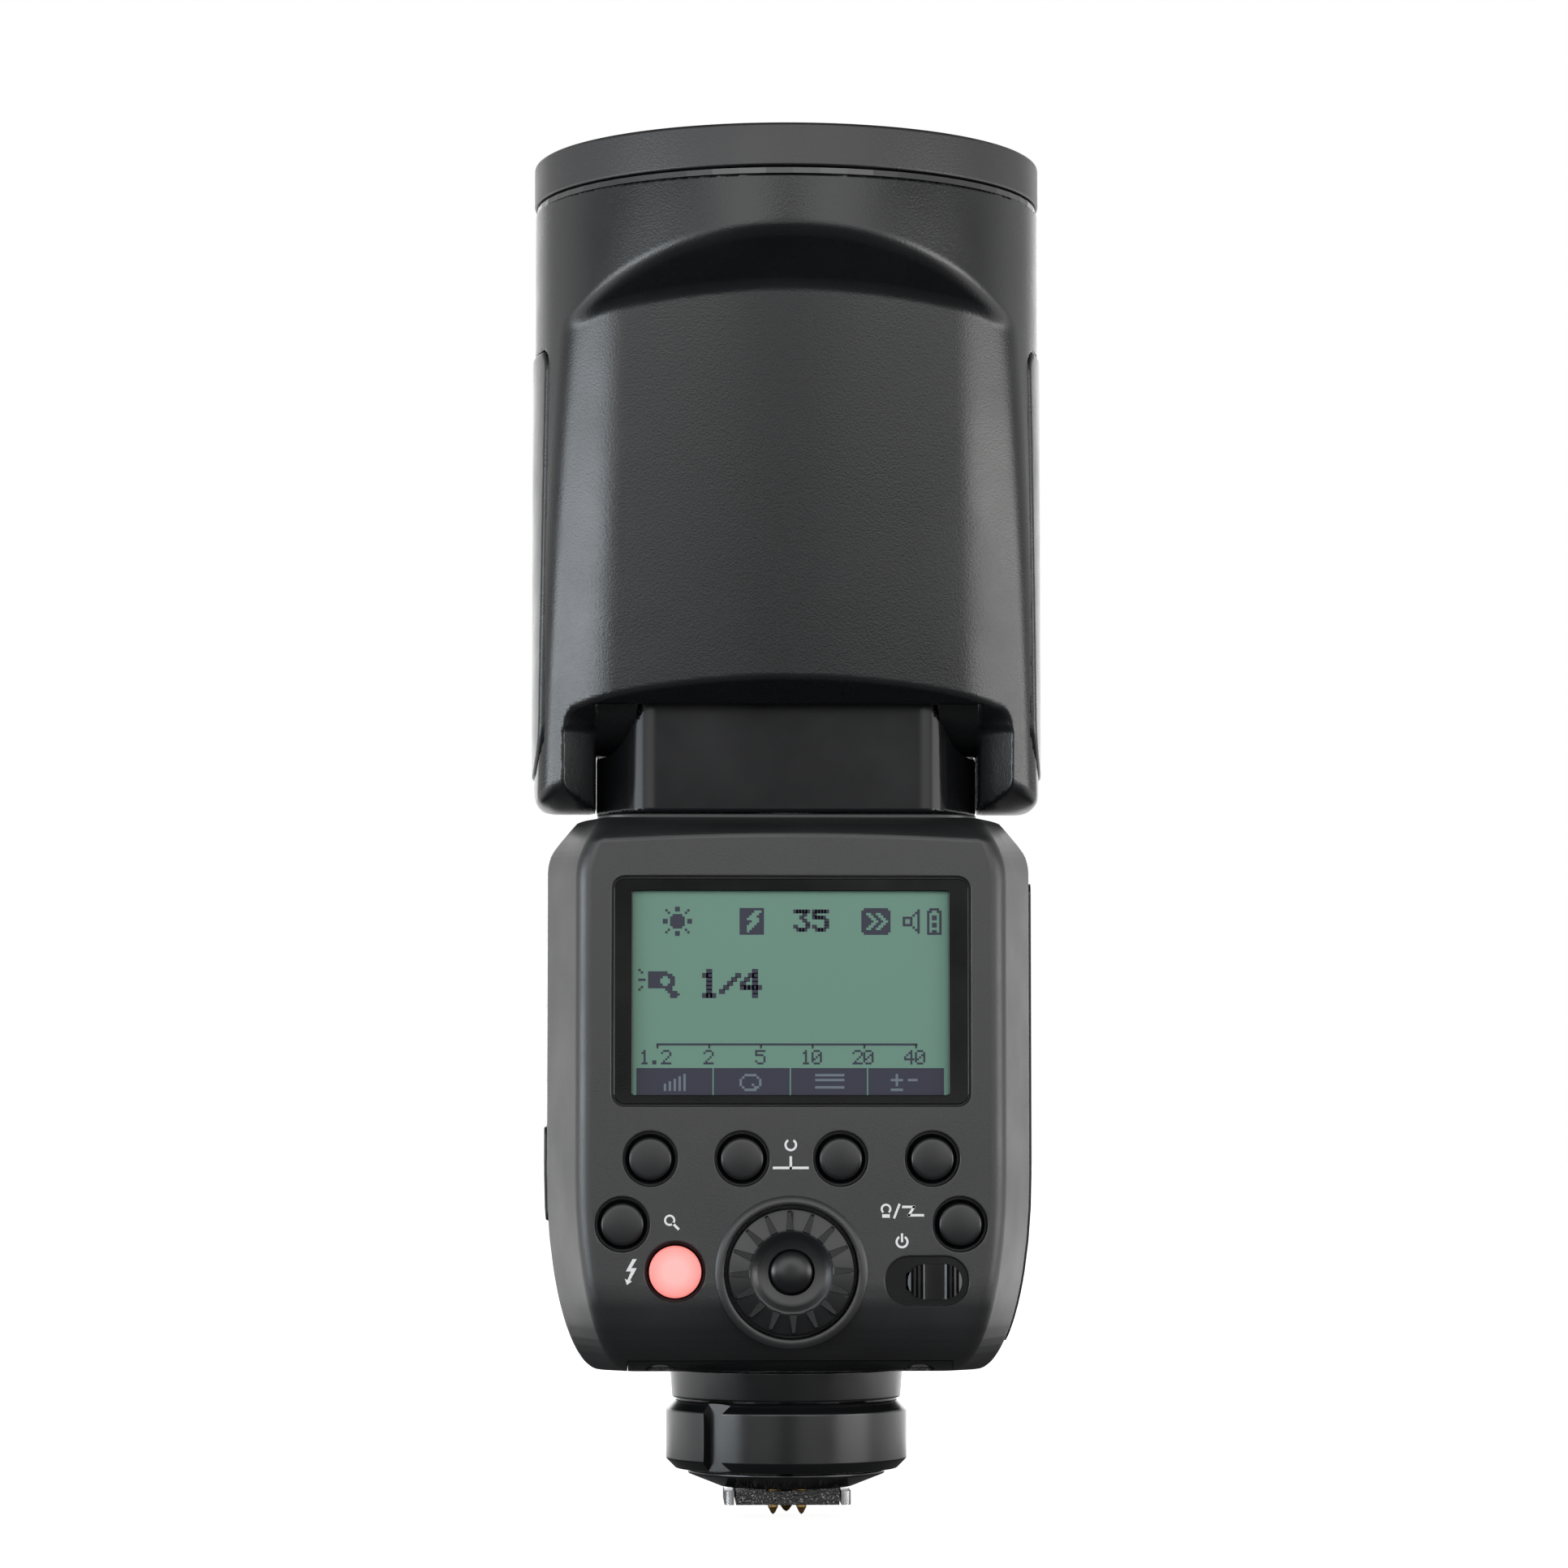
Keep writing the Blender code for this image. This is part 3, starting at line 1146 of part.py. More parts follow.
def pivot_block(axis):
    """Block with a drum top about the tilt axis and hollows for the head's hubs."""
    solid = prism(block_outline(), "Z", BLOCK_BOTTOM, TILT_Z)
    block = add_part("pivot_block", solid, "shell", (0, 0, BLOCK_BOTTOM), axis)
    drum = rod(BLOCK_DEPTH / 2 - MERGE, (-BLOCK_NECK_HALF, 0, TILT_Z), (BLOCK_NECK_HALF, 0, TILT_Z), 40)
    join(block, drum, "drum")
    hollow = HUB_RADIUS + FIT
    end = BLOCK_WIDTH / 2 + OVERCUT
    sides = [hinge_rod(hollow, s, BLOCK_NECK_HALF, end, 40) for s in (-1, 1)]
    cut(block, several(sides), "hub_hollows")
    bore = SHAFT_RADIUS + FIT
    cut(block, upright(bore, 0, 0, BLOCK_BOTTOM - OVERCUT, BLOCK_BOTTOM + SHAFT_RISE + FIT, 32), "shaft_bore")
    inner = BLOCK_NECK_HALF - PIN_DEPTH - FIT
    bores = [hinge_rod(PIN_RADIUS + FIT, s, inner, end) for s in (-1, 1)]
    cut(block, several(bores), "pin_bores")


def tilt_pins(axis):
    head_end = TRIM_SEAT_X - FIT
    head_start = head_end - PIN_HEAD_THICK
    tip = BLOCK_NECK_HALF - PIN_DEPTH
    profile = [
        (0, head_end),
        (PIN_HEAD_RADIUS, head_end),
        (PIN_HEAD_RADIUS, head_start),
        (PIN_RADIUS, head_start),
        (PIN_RADIUS, tip),
        (0, tip),
    ]
    for name, rotation in (("tilt_pin_left", TO_LEFT), ("tilt_pin_right", TO_RIGHT)):
        turned(name, profile, "steel", 24, (0, 0, TILT_Z), rotation, axis)


# Head shell
def relief(side, panel, facets, wall):
    """Solid that flattens one side of the head: a crowned panel, two facets and a sloping cove above."""
    depth, lean, crown = panel
    facet, facet_lean, facet_angle = facets
    cove_top = HEAD_TOP - COVE_DROP + wall * math.sqrt(1 + COVE_SLOPE * COVE_SLOPE)
    wide, far = 1.3 * HEAD_RADIUS, 2 * HEAD_RADIUS
    tangent = math.tan(facet_angle)

    def panel_point(share, z):
        centre = depth + lean * (z - TILT_Z) - wall
        offset = (facet + facet_lean * (z - TILT_Z) - wall) / math.cos(facet_angle)
        half = crown * (tangent - math.sqrt(tangent * tangent - 2 * (offset - centre) / crown))
        if abs(share) > 1:
            x = math.copysign(wide, share)
            return x, offset - wide * tangent
        x = share * half
        return x, centre - x * x / (2 * crown)

    def level(share):
        z = cove_top
        for _ in range(30):
            z = cove_top - COVE_SLOPE * (HEAD_RADIUS - panel_point(share, z)[1])
        return z

    shares = [-2] + [2 * k / CROWN_STEPS - 1 for k in range(CROWN_STEPS + 1)] + [2]
    low_z = HEAD_BOTTOM - OVERCUT
    low = [(*panel_point(share, low_z), low_z) for share in shares]
    low += [(wide, far, low_z), (-wide, far, low_z)]
    far_z = cove_top + COVE_SLOPE * (far - HEAD_RADIUS)
    high = [(*panel_point(share, level(share)), level(share)) for share in shares]
    high += [(wide, far, far_z), (-wide, far, far_z)]
    return loft([[(x, side * t, z) for x, t, z in ring] for ring in (low, high)])


def back_relief(wall=0.0):
    facets = (BACK_FACET, BACK_FACET_LEAN, BACK_FACET_ANGLE)
    return relief(-1, (BACK_DEPTH, BACK_LEAN, BACK_CROWN), facets, wall)


def front_relief(wall=0.0):
    facets = (FRONT_FACET, FRONT_FACET_LEAN, FRONT_FACET_ANGLE)
    return relief(1, (FRONT_DEPTH, FRONT_LEAN, FRONT_CROWN), facets, wall)


def arm_side_outline():
    """Side view of the head: round arm ends about the tilt axis, everything kept above them."""
    start = math.radians(195)
    arc = [start + k * math.radians(150) / 24 for k in range(25)]
    points = [(ARM_RADIUS * math.cos(a), TILT_Z + ARM_RADIUS * math.sin(a)) for a in arc]
    wide, top = 2 * HEAD_RADIUS, HEAD_TOP + OVERCUT
    ledge = points[0][1]
    return points + [(wide, ledge), (wide, top), (-wide, top), (-wide, ledge)]


def gap_outline():
    """Side view of the space that the pivot block sweeps between its tilt limits."""
    first = math.pi - TILT_BACK
    last = TILT_FORWARD
    arc = [first + (last - first) * k / 16 for k in range(17)]
    roof = [(GAP_RADIUS * math.cos(a), TILT_Z + GAP_RADIUS * math.sin(a)) for a in arc]
    far = 2 * HEAD_RADIUS
    back = (roof[0][0] - far * math.sin(TILT_BACK), roof[0][1] - far * math.cos(TILT_BACK))
    front = (roof[-1][0] + far * math.sin(TILT_FORWARD), roof[-1][1] - far * math.cos(TILT_FORWARD))
    return [back] + roof + [front, (far, back[1])]


def lip_funnel():
    """Flared mouth of the opening at the back, with round upper corners."""
    rings = []
    for depth, corner in zip((LIP_START, LIP_REACH), LIP_CORNERS):
        half = GAP_HALF + depth - LIP_START
        top = TILT_Z - LIP_DROP + (depth - LIP_START) * LIP_SLOPE
        low = HEAD_BOTTOM - OVERCUT
        corners = [(-half, low), (half, low), (half, top), (-half, top)]
        radii = [FIT, FIT, corner, corner]
        rings.append([(x, -depth, z) for x, z in rounded(corners, radii, 6)])
    return loft(rings)


def head_cavity():
    """Inside of the head above the hinge, narrower where the side trim plates are let in."""
    solid = upright(CAVITY_RADIUS, 0, 0, HEAD_FLOOR, HEAD_TOP + OVERCUT, HEAD_STEPS)
    space = add_cutter("head_cavity", solid)
    cut(space, back_relief(HEAD_WALL), "back_wall")
    cut(space, front_relief(HEAD_WALL), "front_wall")
    inner = HEAD_RADIUS - CAVITY_SIDE_WALL
    wide, top = 2 * HEAD_RADIUS, TILT_Z + TRIM_TOP_RISE + HEAD_WALL
    walls = [
        box((-wide, -wide, HEAD_FLOOR - OVERCUT), (-inner, wide, top)),
        box((inner, -wide, HEAD_FLOOR - OVERCUT), (wide, wide, top)),
    ]
    cut(space, several(walls), "side_walls")
    return space


def trim_outline(gap):
    """Side view of a trim plate, narrower towards the hinge."""
    low, high = TILT_Z - TRIM_BOTTOM_DROP, TILT_Z + TRIM_TOP_RISE
    corners = [(-TRIM_BOTTOM_HALF, low), (TRIM_BOTTOM_HALF, low)]
    corners += [(TRIM_TOP_HALF, high), (-TRIM_TOP_HALF, high)]
    grown = [(y + math.copysign(gap, y), z + (gap if z == high else -gap)) for y, z in corners]
    radii = [TRIM_BOTTOM_CORNER + gap] * 2 + [TRIM_TOP_CORNER + gap] * 2
    return rounded(grown, radii, 6)


def head_blank():
    """Whole head shell, before it is parted into a back and a front half."""
    blank = add_cutter("head_blank", upright(HEAD_RADIUS, 0, 0, HEAD_BOTTOM - OVERCUT, HEAD_TOP, HEAD_STEPS))
    wide = 2 * HEAD_RADIUS
    keep(blank, prism(arm_side_outline(), "X", -wide, wide), "arm_ends")
    half = HEAD_RADIUS + FIT
    top = HEAD_TOP + OVERCUT
    corners = [(-half, HEAD_BOTTOM - MERGE), (half, HEAD_BOTTOM - MERGE), (half, top), (-half, top)]
    front_view = rounded(corners, [ARM_CORNER, ARM_CORNER, FIT, FIT], 6)
    keep(blank, prism(front_view, "Y", -wide, wide), "arm_corners")
    cut(blank, back_relief(), "back_relief")
    cut(blank, front_relief(), "front_relief")
    cut(blank, prism(gap_outline(), "X", -GAP_HALF, GAP_HALF), "block_gap")
    cut(blank, lip_funnel(), "lip")
    seat = GAP_HALF + SINK
    hubs = [hinge_rod(HUB_RADIUS, s, HUB_INNER_X, seat, 40) for s in (-1, 1)]
    join(blank, several(hubs), "hubs")
    head_start = TRIM_SEAT_X - PIN_HEAD_THICK - 2 * FIT
    bores = [hinge_rod(PIN_RADIUS + FIT, s, HUB_INNER_X - OVERCUT, head_start) for s in (-1, 1)]
    cut(blank, several(bores), "pin_bores")
    seats = [hinge_rod(PIN_HEAD_RADIUS + FIT, s, head_start - MERGE, TRIM_SEAT_X) for s in (-1, 1)]
    cut(blank, several(seats), "pin_seats")
    seat_x = TRIM_SEAT_X - MERGE
    pockets = [prism(trim_outline(FIT), "X", s * seat_x, s * wide) for s in (-1, 1)]
    cut(blank, several(pockets), "trim_pockets")
    inside = head_cavity()
    step = blank.modifiers.new("inside", "BOOLEAN")
    step.operation = "DIFFERENCE"
    step.solver = "EXACT"
    step.object = inside
    return blank


def head_shells(axis):
    blank = head_blank()
    bpy.context.view_layer.update()
    whole = bpy.data.meshes.new_from_object(blank.evaluated_get(bpy.context.evaluated_depsgraph_get()))
    wide = 3 * HEAD_RADIUS
    origin = (0, 0, TILT_Z)
    for name, side in (("head_rear_shell", -1), ("head_front_shell", 1)):
        bm = bmesh.new()
        bm.from_mesh(whole)
        shell = add_part(name, bm, "shell", origin, axis)
        low, high = sorted((side * FIT / 2, -side * wide))
        cut(shell, box((-wide, low, HEAD_BOTTOM - wide), (wide, high, HEAD_TOP + wide)), "split")
    bpy.data.meshes.remove(whole)


def trim_plates(axis):
    radius = HEAD_RADIUS + TRIM_PROUD
    for name, side in (("side_trim_left", -1), ("side_trim_right", 1)):
        solid = rod(radius, (0, 0, HEAD_BOTTOM), (0, 0, HEAD_TOP), HEAD_STEPS)
        plate = add_part(name, solid, "shell", (0, 0, TILT_Z), axis)
        start, end = side * (TRIM_SEAT_X + FIT), side * 2 * HEAD_RADIUS
        keep(plate, prism(trim_outline(0.0), "X", *sorted((start, end))), "outline")


# Bezel, strip and lens
def bezel(axis):
    ledge_bore = BEZEL_BORE - BEZEL_LEDGE
    ledge_top = BEZEL_BOTTOM + BEZEL_LEDGE_HEIGHT
    ring = [
        (BEZEL_RADIUS - BEZEL_EDGE, BEZEL_TOP),
        (BEZEL_RADIUS, BEZEL_TOP - BEZEL_EDGE),
        (BEZEL_RADIUS, BEZEL_BOTTOM),
        (SPIGOT_RADIUS, BEZEL_BOTTOM),
        (SPIGOT_RADIUS, SPIGOT_BOTTOM),
        (ledge_bore, SPIGOT_BOTTOM),
        (ledge_bore, ledge_top),
        (BEZEL_BORE, ledge_top),
        (BEZEL_BORE, BEZEL_TOP),
    ]
    turned("bezel_ring", ring, "shell", HEAD_STEPS, (0, 0, 0), parent=axis)
    outer = HEAD_RADIUS - STRIP_INSET
    inner = max(outer - STRIP_WIDTH, SPIGOT_RADIUS + FIT)
    top = STRIP_BOTTOM + STRIP_HEIGHT
    strip = [(outer, top), (outer, STRIP_BOTTOM), (inner, STRIP_BOTTOM), (inner, top)]
    turned("gasket_strip", strip, "gloss", HEAD_STEPS, (0, 0, 0), parent=axis)
    front_lens(ledge_top + FIT, axis)


def front_lens(low, axis):
    """Lens with a crowned face and Fresnel grooves on its inner side."""
    outer = BEZEL_BORE - FIT
    flat = BEZEL_BORE - BEZEL_LEDGE - FIT
    high = low + LENS_THICK
    profile = [(0, high + LENS_CROWN), (outer * 0.6, high + LENS_CROWN * 0.64)]
    profile += [(outer, high), (outer, low), (flat, low)]
    width = (flat - LENS_CLEAR_RADIUS) / LENS_GROOVES
    for number in range(LENS_GROOVES):
        radius = flat - number * width
        profile.append((radius - width * 0.12, low + LENS_GROOVE_DEPTH))
        profile.append((radius - width, low))
    profile.append((0, low))
    turned("front_lens", profile, "clear", 40, (0, 0, 0), parent=axis)


# Zoom drive and flash tube
def zoom_drive(axis):
    motor_low = HEAD_FLOOR + FIT
    motor = [
        (0, MOTOR_TOP),
        (MOTOR_RADIUS, MOTOR_TOP),
        (MOTOR_RADIUS, motor_low),
        (0, motor_low),
    ]
    turned("zoom_motor", motor, "steel", 24, (-RAIL_X, 0, 0), parent=axis)
    screw = [(0, RAIL_TOP), (RAIL_RADIUS, RAIL_TOP), (RAIL_RADIUS, MOTOR_TOP + FIT), (0, MOTOR_TOP + FIT)]
    turned("lead_screw", screw, "brass", 16, (-RAIL_X, 0, 0), parent=axis)
    rail = [(0, RAIL_TOP), (RAIL_RADIUS, RAIL_TOP), (RAIL_RADIUS, motor_low), (0, motor_low)]
    turned("guide_rod", rail, "steel", 16, (RAIL_X, 0, 0), parent=axis)
    length = 2 * (RAIL_X + CARRIAGE_EYE)
    outline = rounded_box((0, 0), length, CARRIAGE_WIDTH, CARRIAGE_EYE)
    origin = (0, 0, CARRIAGE_BOTTOM)
    bar = prism(outline, "Z", CARRIAGE_BOTTOM, CARRIAGE_TOP)
    carriage = add_part("zoom_carriage", bar, "gloss", origin, axis)
    hub = upright(CARRIAGE_HUB_RADIUS, 0, 0, CARRIAGE_BOTTOM + SINK, CARRIAGE_TOP - SINK, 32)
    join(carriage, hub, "hub")
    low, high = CARRIAGE_BOTTOM - OVERCUT, CARRIAGE_TOP + OVERCUT
    eyes = [upright(RAIL_RADIUS + FIT, s * RAIL_X, 0, low, high, 16) for s in (-1, 1)]
    eyes += [upright(TUBE_RADIUS + FIT, x, y, low, high, 12) for x, y in tube_legs()]
    cut(carriage, several(eyes), "eyes")


def reflector(axis):
    low = CARRIAGE_TOP + FIT
    steps = 5
    span = REFLECTOR_MOUTH - REFLECTOR_BASE
    outer = []
    for k in range(steps + 1):
        share = 1 - k / steps
        outer.append((REFLECTOR_BASE + span * math.sqrt(share), low + REFLECTOR_HEIGHT * share))
    inner = [(radius - REFLECTOR_WALL, max(z, low + REFLECTOR_FLOOR)) for radius, z in reversed(outer)]
    profile = outer + [(0, low), (0, low + REFLECTOR_FLOOR)] + inner
    bowl = turned("reflector", profile, "chrome", 28, (0, 0, 0), parent=axis)
    leg = TUBE_RADIUS + FIT
    top = low + REFLECTOR_FLOOR + OVERCUT
    drills = [upright(leg, x, y, low - OVERCUT, top, 12) for x, y in tube_legs()]
    cut(bowl, several(drills), "tube_holes")
    lamp_low = low + REFLECTOR_FLOOR + FIT
    lamp_top = lamp_low + LAMP_HEIGHT
    lamp = [
        (0, lamp_top),
        (LAMP_RADIUS * 0.7, lamp_top),
        (LAMP_RADIUS, lamp_top - LAMP_HEIGHT / 2),
        (LAMP_RADIUS, lamp_low),
        (0, lamp_low),
    ]
    turned("modelling_lamp", lamp, "white", 20, (0, 0, 0), parent=axis)


def tube_legs():
    """Places where the flash tube's two ends go down through the reflector."""
    half = TUBE_GAP_ANGLE / 2
    return [(TUBE_RING * math.cos(a), TUBE_RING * math.sin(a)) for a in (half, 2 * math.pi - half)]


def flash_tube(axis):
    """Open ring of tube over the reflector's floor, with both ends bent down."""
    ring_z = CARRIAGE_TOP + FIT + REFLECTOR_FLOOR + TUBE_RISE
    low_z = CARRIAGE_BOTTOM + FIT
    half = TUBE_GAP_ANGLE / 2
    arc = [half + k * (2 * math.pi - 2 * half) / 16 for k in range(17)]
    (x0, y0), (x1, y1) = tube_legs()
    points = [(x0, y0, low_z)]
    points += [(TUBE_RING * math.cos(a), TUBE_RING * math.sin(a), ring_z) for a in arc]
    points.append((x1, y1, low_z))
    curve = bpy.data.curves.new("flash_tube", "CURVE")
    curve.dimensions = "3D"
    curve.bevel_depth = TUBE_RADIUS
    curve.bevel_resolution = 1
    curve.use_fill_caps = True
    spline = curve.splines.new("POLY")
    spline.points.add(len(points) - 1)
    for knot, place in zip(spline.points, points):
        knot.co = (*place, 1.0)
    item = bpy.data.objects.new("flash_tube", curve)
    PARTS.objects.link(item)
    curve.materials.append(new_material("flash_tube", "clear"))
    hang(item, axis)


def build():
    swivel_axis = add_empty("swivel_axis", (0, 0, BODY_TOP))
    tilt_axis = add_empty("tilt_axis", (0, 0, TILT_Z), swivel_axis)
    shoe_foot()
    contacts()
    shoe_base()
    lock_ring()
    lock_pin()
    shoe_neck()
    base_plate()
    rear_cover()
    display()
    keys()
    control_dial()
    power_slider()
    body_shell()
    sensor_window()
    ports()
    battery()
    battery_bay()
    boards()
    swivel(swivel_axis)
    pivot_block(swivel_axis)
    tilt_pins(swivel_axis)
    head_shells(tilt_axis)
    trim_plates(tilt_axis)
    bezel(tilt_axis)
    zoom_drive(tilt_axis)
    reflector(tilt_axis)
    flash_tube(tilt_axis)


build()
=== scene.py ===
import math

import bmesh
import bpy
import numpy as np
from mathutils import Matrix, Vector


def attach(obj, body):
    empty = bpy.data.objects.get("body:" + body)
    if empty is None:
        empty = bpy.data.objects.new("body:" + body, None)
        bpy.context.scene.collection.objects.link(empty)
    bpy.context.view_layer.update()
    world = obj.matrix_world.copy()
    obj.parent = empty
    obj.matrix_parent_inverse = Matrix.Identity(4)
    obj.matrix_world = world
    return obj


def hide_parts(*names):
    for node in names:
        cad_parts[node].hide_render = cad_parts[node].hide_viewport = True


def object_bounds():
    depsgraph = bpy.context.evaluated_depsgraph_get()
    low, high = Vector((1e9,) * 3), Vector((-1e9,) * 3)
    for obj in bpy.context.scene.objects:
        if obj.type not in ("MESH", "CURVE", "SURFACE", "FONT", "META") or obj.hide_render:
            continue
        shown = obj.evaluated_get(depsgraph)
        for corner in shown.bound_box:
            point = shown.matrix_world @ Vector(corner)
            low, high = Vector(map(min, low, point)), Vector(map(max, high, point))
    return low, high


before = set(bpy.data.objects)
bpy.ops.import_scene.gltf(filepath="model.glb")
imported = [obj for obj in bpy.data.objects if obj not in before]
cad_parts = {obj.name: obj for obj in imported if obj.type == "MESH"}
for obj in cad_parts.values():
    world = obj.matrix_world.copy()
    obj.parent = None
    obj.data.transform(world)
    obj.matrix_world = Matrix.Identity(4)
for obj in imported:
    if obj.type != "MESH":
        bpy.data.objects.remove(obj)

CAD_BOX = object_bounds()

# Sizes are in millimetres in the CAD frame and become metres where meshes are made
MM = 0.001

# Camera, read off the photograph
CAMERA_PLACE = (-20.2, -755.0, 56.25)
CAMERA_TILT = math.radians(3.832)
CAMERA_TURN = math.radians(-1.508)
CAMERA_LENS = 115.7
CAMERA_SENSOR = 36.0

# Lamps in metres: name, sideways, along Y, height, size of the panel, watts
LAMPS = (
    ("tall_panel", 0.72, -0.35, 0.12, (0.50, 0.24), 1.9),
    ("low_panel", 0.68, -0.33, 0.045, (0.50, 0.085), 0.5),
)
# Side, share of those watts and tint
LAMP_SIDES = ((-1, 1.0, (0.86, 0.94, 1.0)), (1, 0.72, (1.0, 0.99, 0.98)))
LAMP_TARGET = (0, 0, 0.10)

# Brightness of the studio round the object: direction along Y, share of the brightest
STUDIO_BRIGHTEST = 2.5
STUDIO = (
    (-1.0, 1.0), (-0.84, 0.9), (-0.66, 0.2), (0.10, 0.2), (0.38, 0.30),
    (0.54, 0.32), (0.80, 0.20), (0.93, 0.8), (1.0, 1.0),
)
# Share kept overhead, and the upward directions between which it dims to that
ROOF_SHARE, ROOF_REACH = 0.12, (0.40, 0.80)
# Dark place straight ahead, where a camera stands: direction, inner and outer reach, share kept
AHEAD, AHEAD_REACH, AHEAD_SHARE = (0.0, -1.0, 0.05), (0.08, 0.24), 0.10

# Floor paper in metres: its colours, its glow, and the brightness that gloss mirrors
FLOOR_HALF, FLOOR_DROP = 6.0, 0.0005
FLOOR_DARK, FLOOR_PALE, FLOOR_GLOW, FLOOR_SHINE = 0.14, 0.85, 0.93, 1.0
FLOOR_ROUGHNESS, FLOOR_BUMP, FLOOR_GRAIN = 0.9, 0.05, 1.0
# Where it turns pale: distance from the middle, width of the change, and widening toward the front
FLOOR_NEAR, FLOOR_FADE, FLOOR_FLARE, FLOOR_AHEAD = 0.075, 0.08, 0.85, 0.125

# Heights and faces shared with the CAD model
PANEL_Y = -28.5
BODY_LOW, BODY_HIGH = 20.0, 100.6
SPLIT_Y = -13.0
TILT_Z = 121.0
HEAD_TOP = 192.2
HEAD_RADIUS = 37.9
FIT = 0.3
TO_PANEL = Matrix.Rotation(math.pi / 2, 4, "X")

# Blotches in every finish, share of its grain that stands out, and noise levels of speckles
WHITE = (1, 1, 1, 1)
BLOTCH_SIZE, BLOTCH_DETAIL, GRAIN_RISE = 14.0, 4.0, 0.2
SPECKLE_LEVELS = (0.65, 0.75)


# Shader nodes
def fill(tree, made, inputs):
    """Set or link the inputs of a node."""
    for key, value in inputs.items():
        if isinstance(value, bpy.types.NodeSocket):
            tree.links.new(value, made.inputs[key])
        else:
            made.inputs[key].default_value = value


def node(tree, kind, inputs, output=0, **settings):
    """One output of a new shader node."""
    made = tree.nodes.new("ShaderNode" + kind)
    for key, value in settings.items():
        setattr(made, key, value)
    fill(tree, made, inputs)
    return made.outputs[output]


def maths(tree, operation, a, b=0.0):
    return node(tree, "Math", {0: a, 1: b}, operation=operation)


def ray(tree, kind):
    return node(tree, "LightPath", {}, f"Is {kind} Ray")


def seen_directly(tree):
    """One for camera and transmission rays, otherwise nought."""
    return maths(tree, "MAXIMUM", ray(tree, "Camera"), ray(tree, "Transmission"))


def place_of(tree, kind):
    return node(tree, "TexCoord", {}, kind)


def part_of(tree, place, axis):
    return node(tree, "SeparateXYZ", {0: place}, axis)


def distance_from(tree, place, middle):
    return node(tree, "VectorMath", {0: place, 1: middle}, "Value", operation="DISTANCE")


def noise(tree, size, detail=2.0):
    """Noise whose features are a given size in millimetres."""
    inputs = {"Vector": place_of(tree, "Object"), "Scale": 1 / (size * MM), "Detail": detail}
    return node(tree, "TexNoise", inputs, "Fac")


def spread(tree, value, low, high, start=0.3, end=0.7):
    """Value between start and end, turned into one between low and high."""
    inputs = {"Value": value, "From Min": start, "From Max": end, "To Min": low, "To Max": high}
    return node(tree, "MapRange", inputs, "Result")


def mixed(tree, share, a, b):
    return node(tree, "Mix", {"Factor": share, "A": a, "B": b}, "Result", data_type="RGBA")


def new_material(name):
    made = bpy.data.materials.new(name)
    made.use_nodes = True
    return made, made.node_tree, made.node_tree.nodes["Principled BSDF"]


# Camera, light and floor
def add_object(name, data):
    made = bpy.data.objects.new(name, data)
    bpy.context.scene.collection.objects.link(made)
    return made


def add_camera():
    data = bpy.data.cameras.new("camera")
    data.lens = CAMERA_LENS
    data.sensor_width = CAMERA_SENSOR
    camera = add_object("camera", data)
    camera.location = Vector(CAMERA_PLACE) * MM
    tilt = Matrix.Rotation(math.pi / 2 + CAMERA_TILT, 4, "X")
    camera.rotation_euler = (Matrix.Rotation(CAMERA_TURN, 4, "Z") @ tilt).to_euler()
    bpy.context.scene.camera = camera


def area_light(name, place, size, energy, colour):
    """Lit panel that faces the object."""
    data = bpy.data.lights.new(name, "AREA")
    data.shape = "RECTANGLE"
    data.size, data.size_y = size
    data.energy = energy
    data.color = colour
    lamp = add_object(name, data)
    lamp.location = place
    lamp.rotation_euler = (Vector(LAMP_TARGET) - Vector(place)).to_track_quat("-Z", "Y").to_euler()


def add_lights():
    """A tall and a low white panel on each side, a little in front of the object."""
    for side, share, colour in LAMP_SIDES:
        for name, out, along, height, size, watts in LAMPS:
            area_light(name, (side * out, along, height), size, watts * share, colour)


def studio_ramp(tree, along):
    """Brightness of the studio by its direction along Y."""
    made = tree.nodes.new("ShaderNodeValToRGB")
    elements = made.color_ramp.elements
    ends = {-1.0: 0, 1.0: -1}
    for place, share in STUDIO:
        element = elements[ends[place]] if place in ends else elements.new((place + 1) / 2)
        element.color = (share, share, share, 1)
    fill(tree, made, {"Fac": spread(tree, along, 0, 1, -1, 1)})
    return made.outputs["Color"]


def add_world():
    """White studio: bright behind the object, dimmer at its sides and overhead."""
    world = bpy.data.worlds.new("studio")
    bpy.context.scene.world = world
    world.use_nodes = True
    tree = world.node_tree
    tree.nodes.clear()
    direction = place_of(tree, "Generated")
    light = studio_ramp(tree, part_of(tree, direction, "Y"))
    roof = spread(tree, part_of(tree, direction, "Z"), 1, ROOF_SHARE, *ROOF_REACH)
    ahead = spread(tree, distance_from(tree, direction, AHEAD), AHEAD_SHARE, 1, *AHEAD_REACH)
    for share in (roof, ahead, STUDIO_BRIGHTEST):
        light = maths(tree, "MULTIPLY", light, share)
    studio = node(tree, "Background", {"Color": WHITE, "Strength": light})
    plain = node(tree, "Background", {"Color": WHITE})
    mix = node(tree, "MixShader", {"Fac": seen_directly(tree), 1: studio, 2: plain})
    fill(tree, tree.nodes.new("ShaderNodeOutputWorld"), {"Surface": mix})


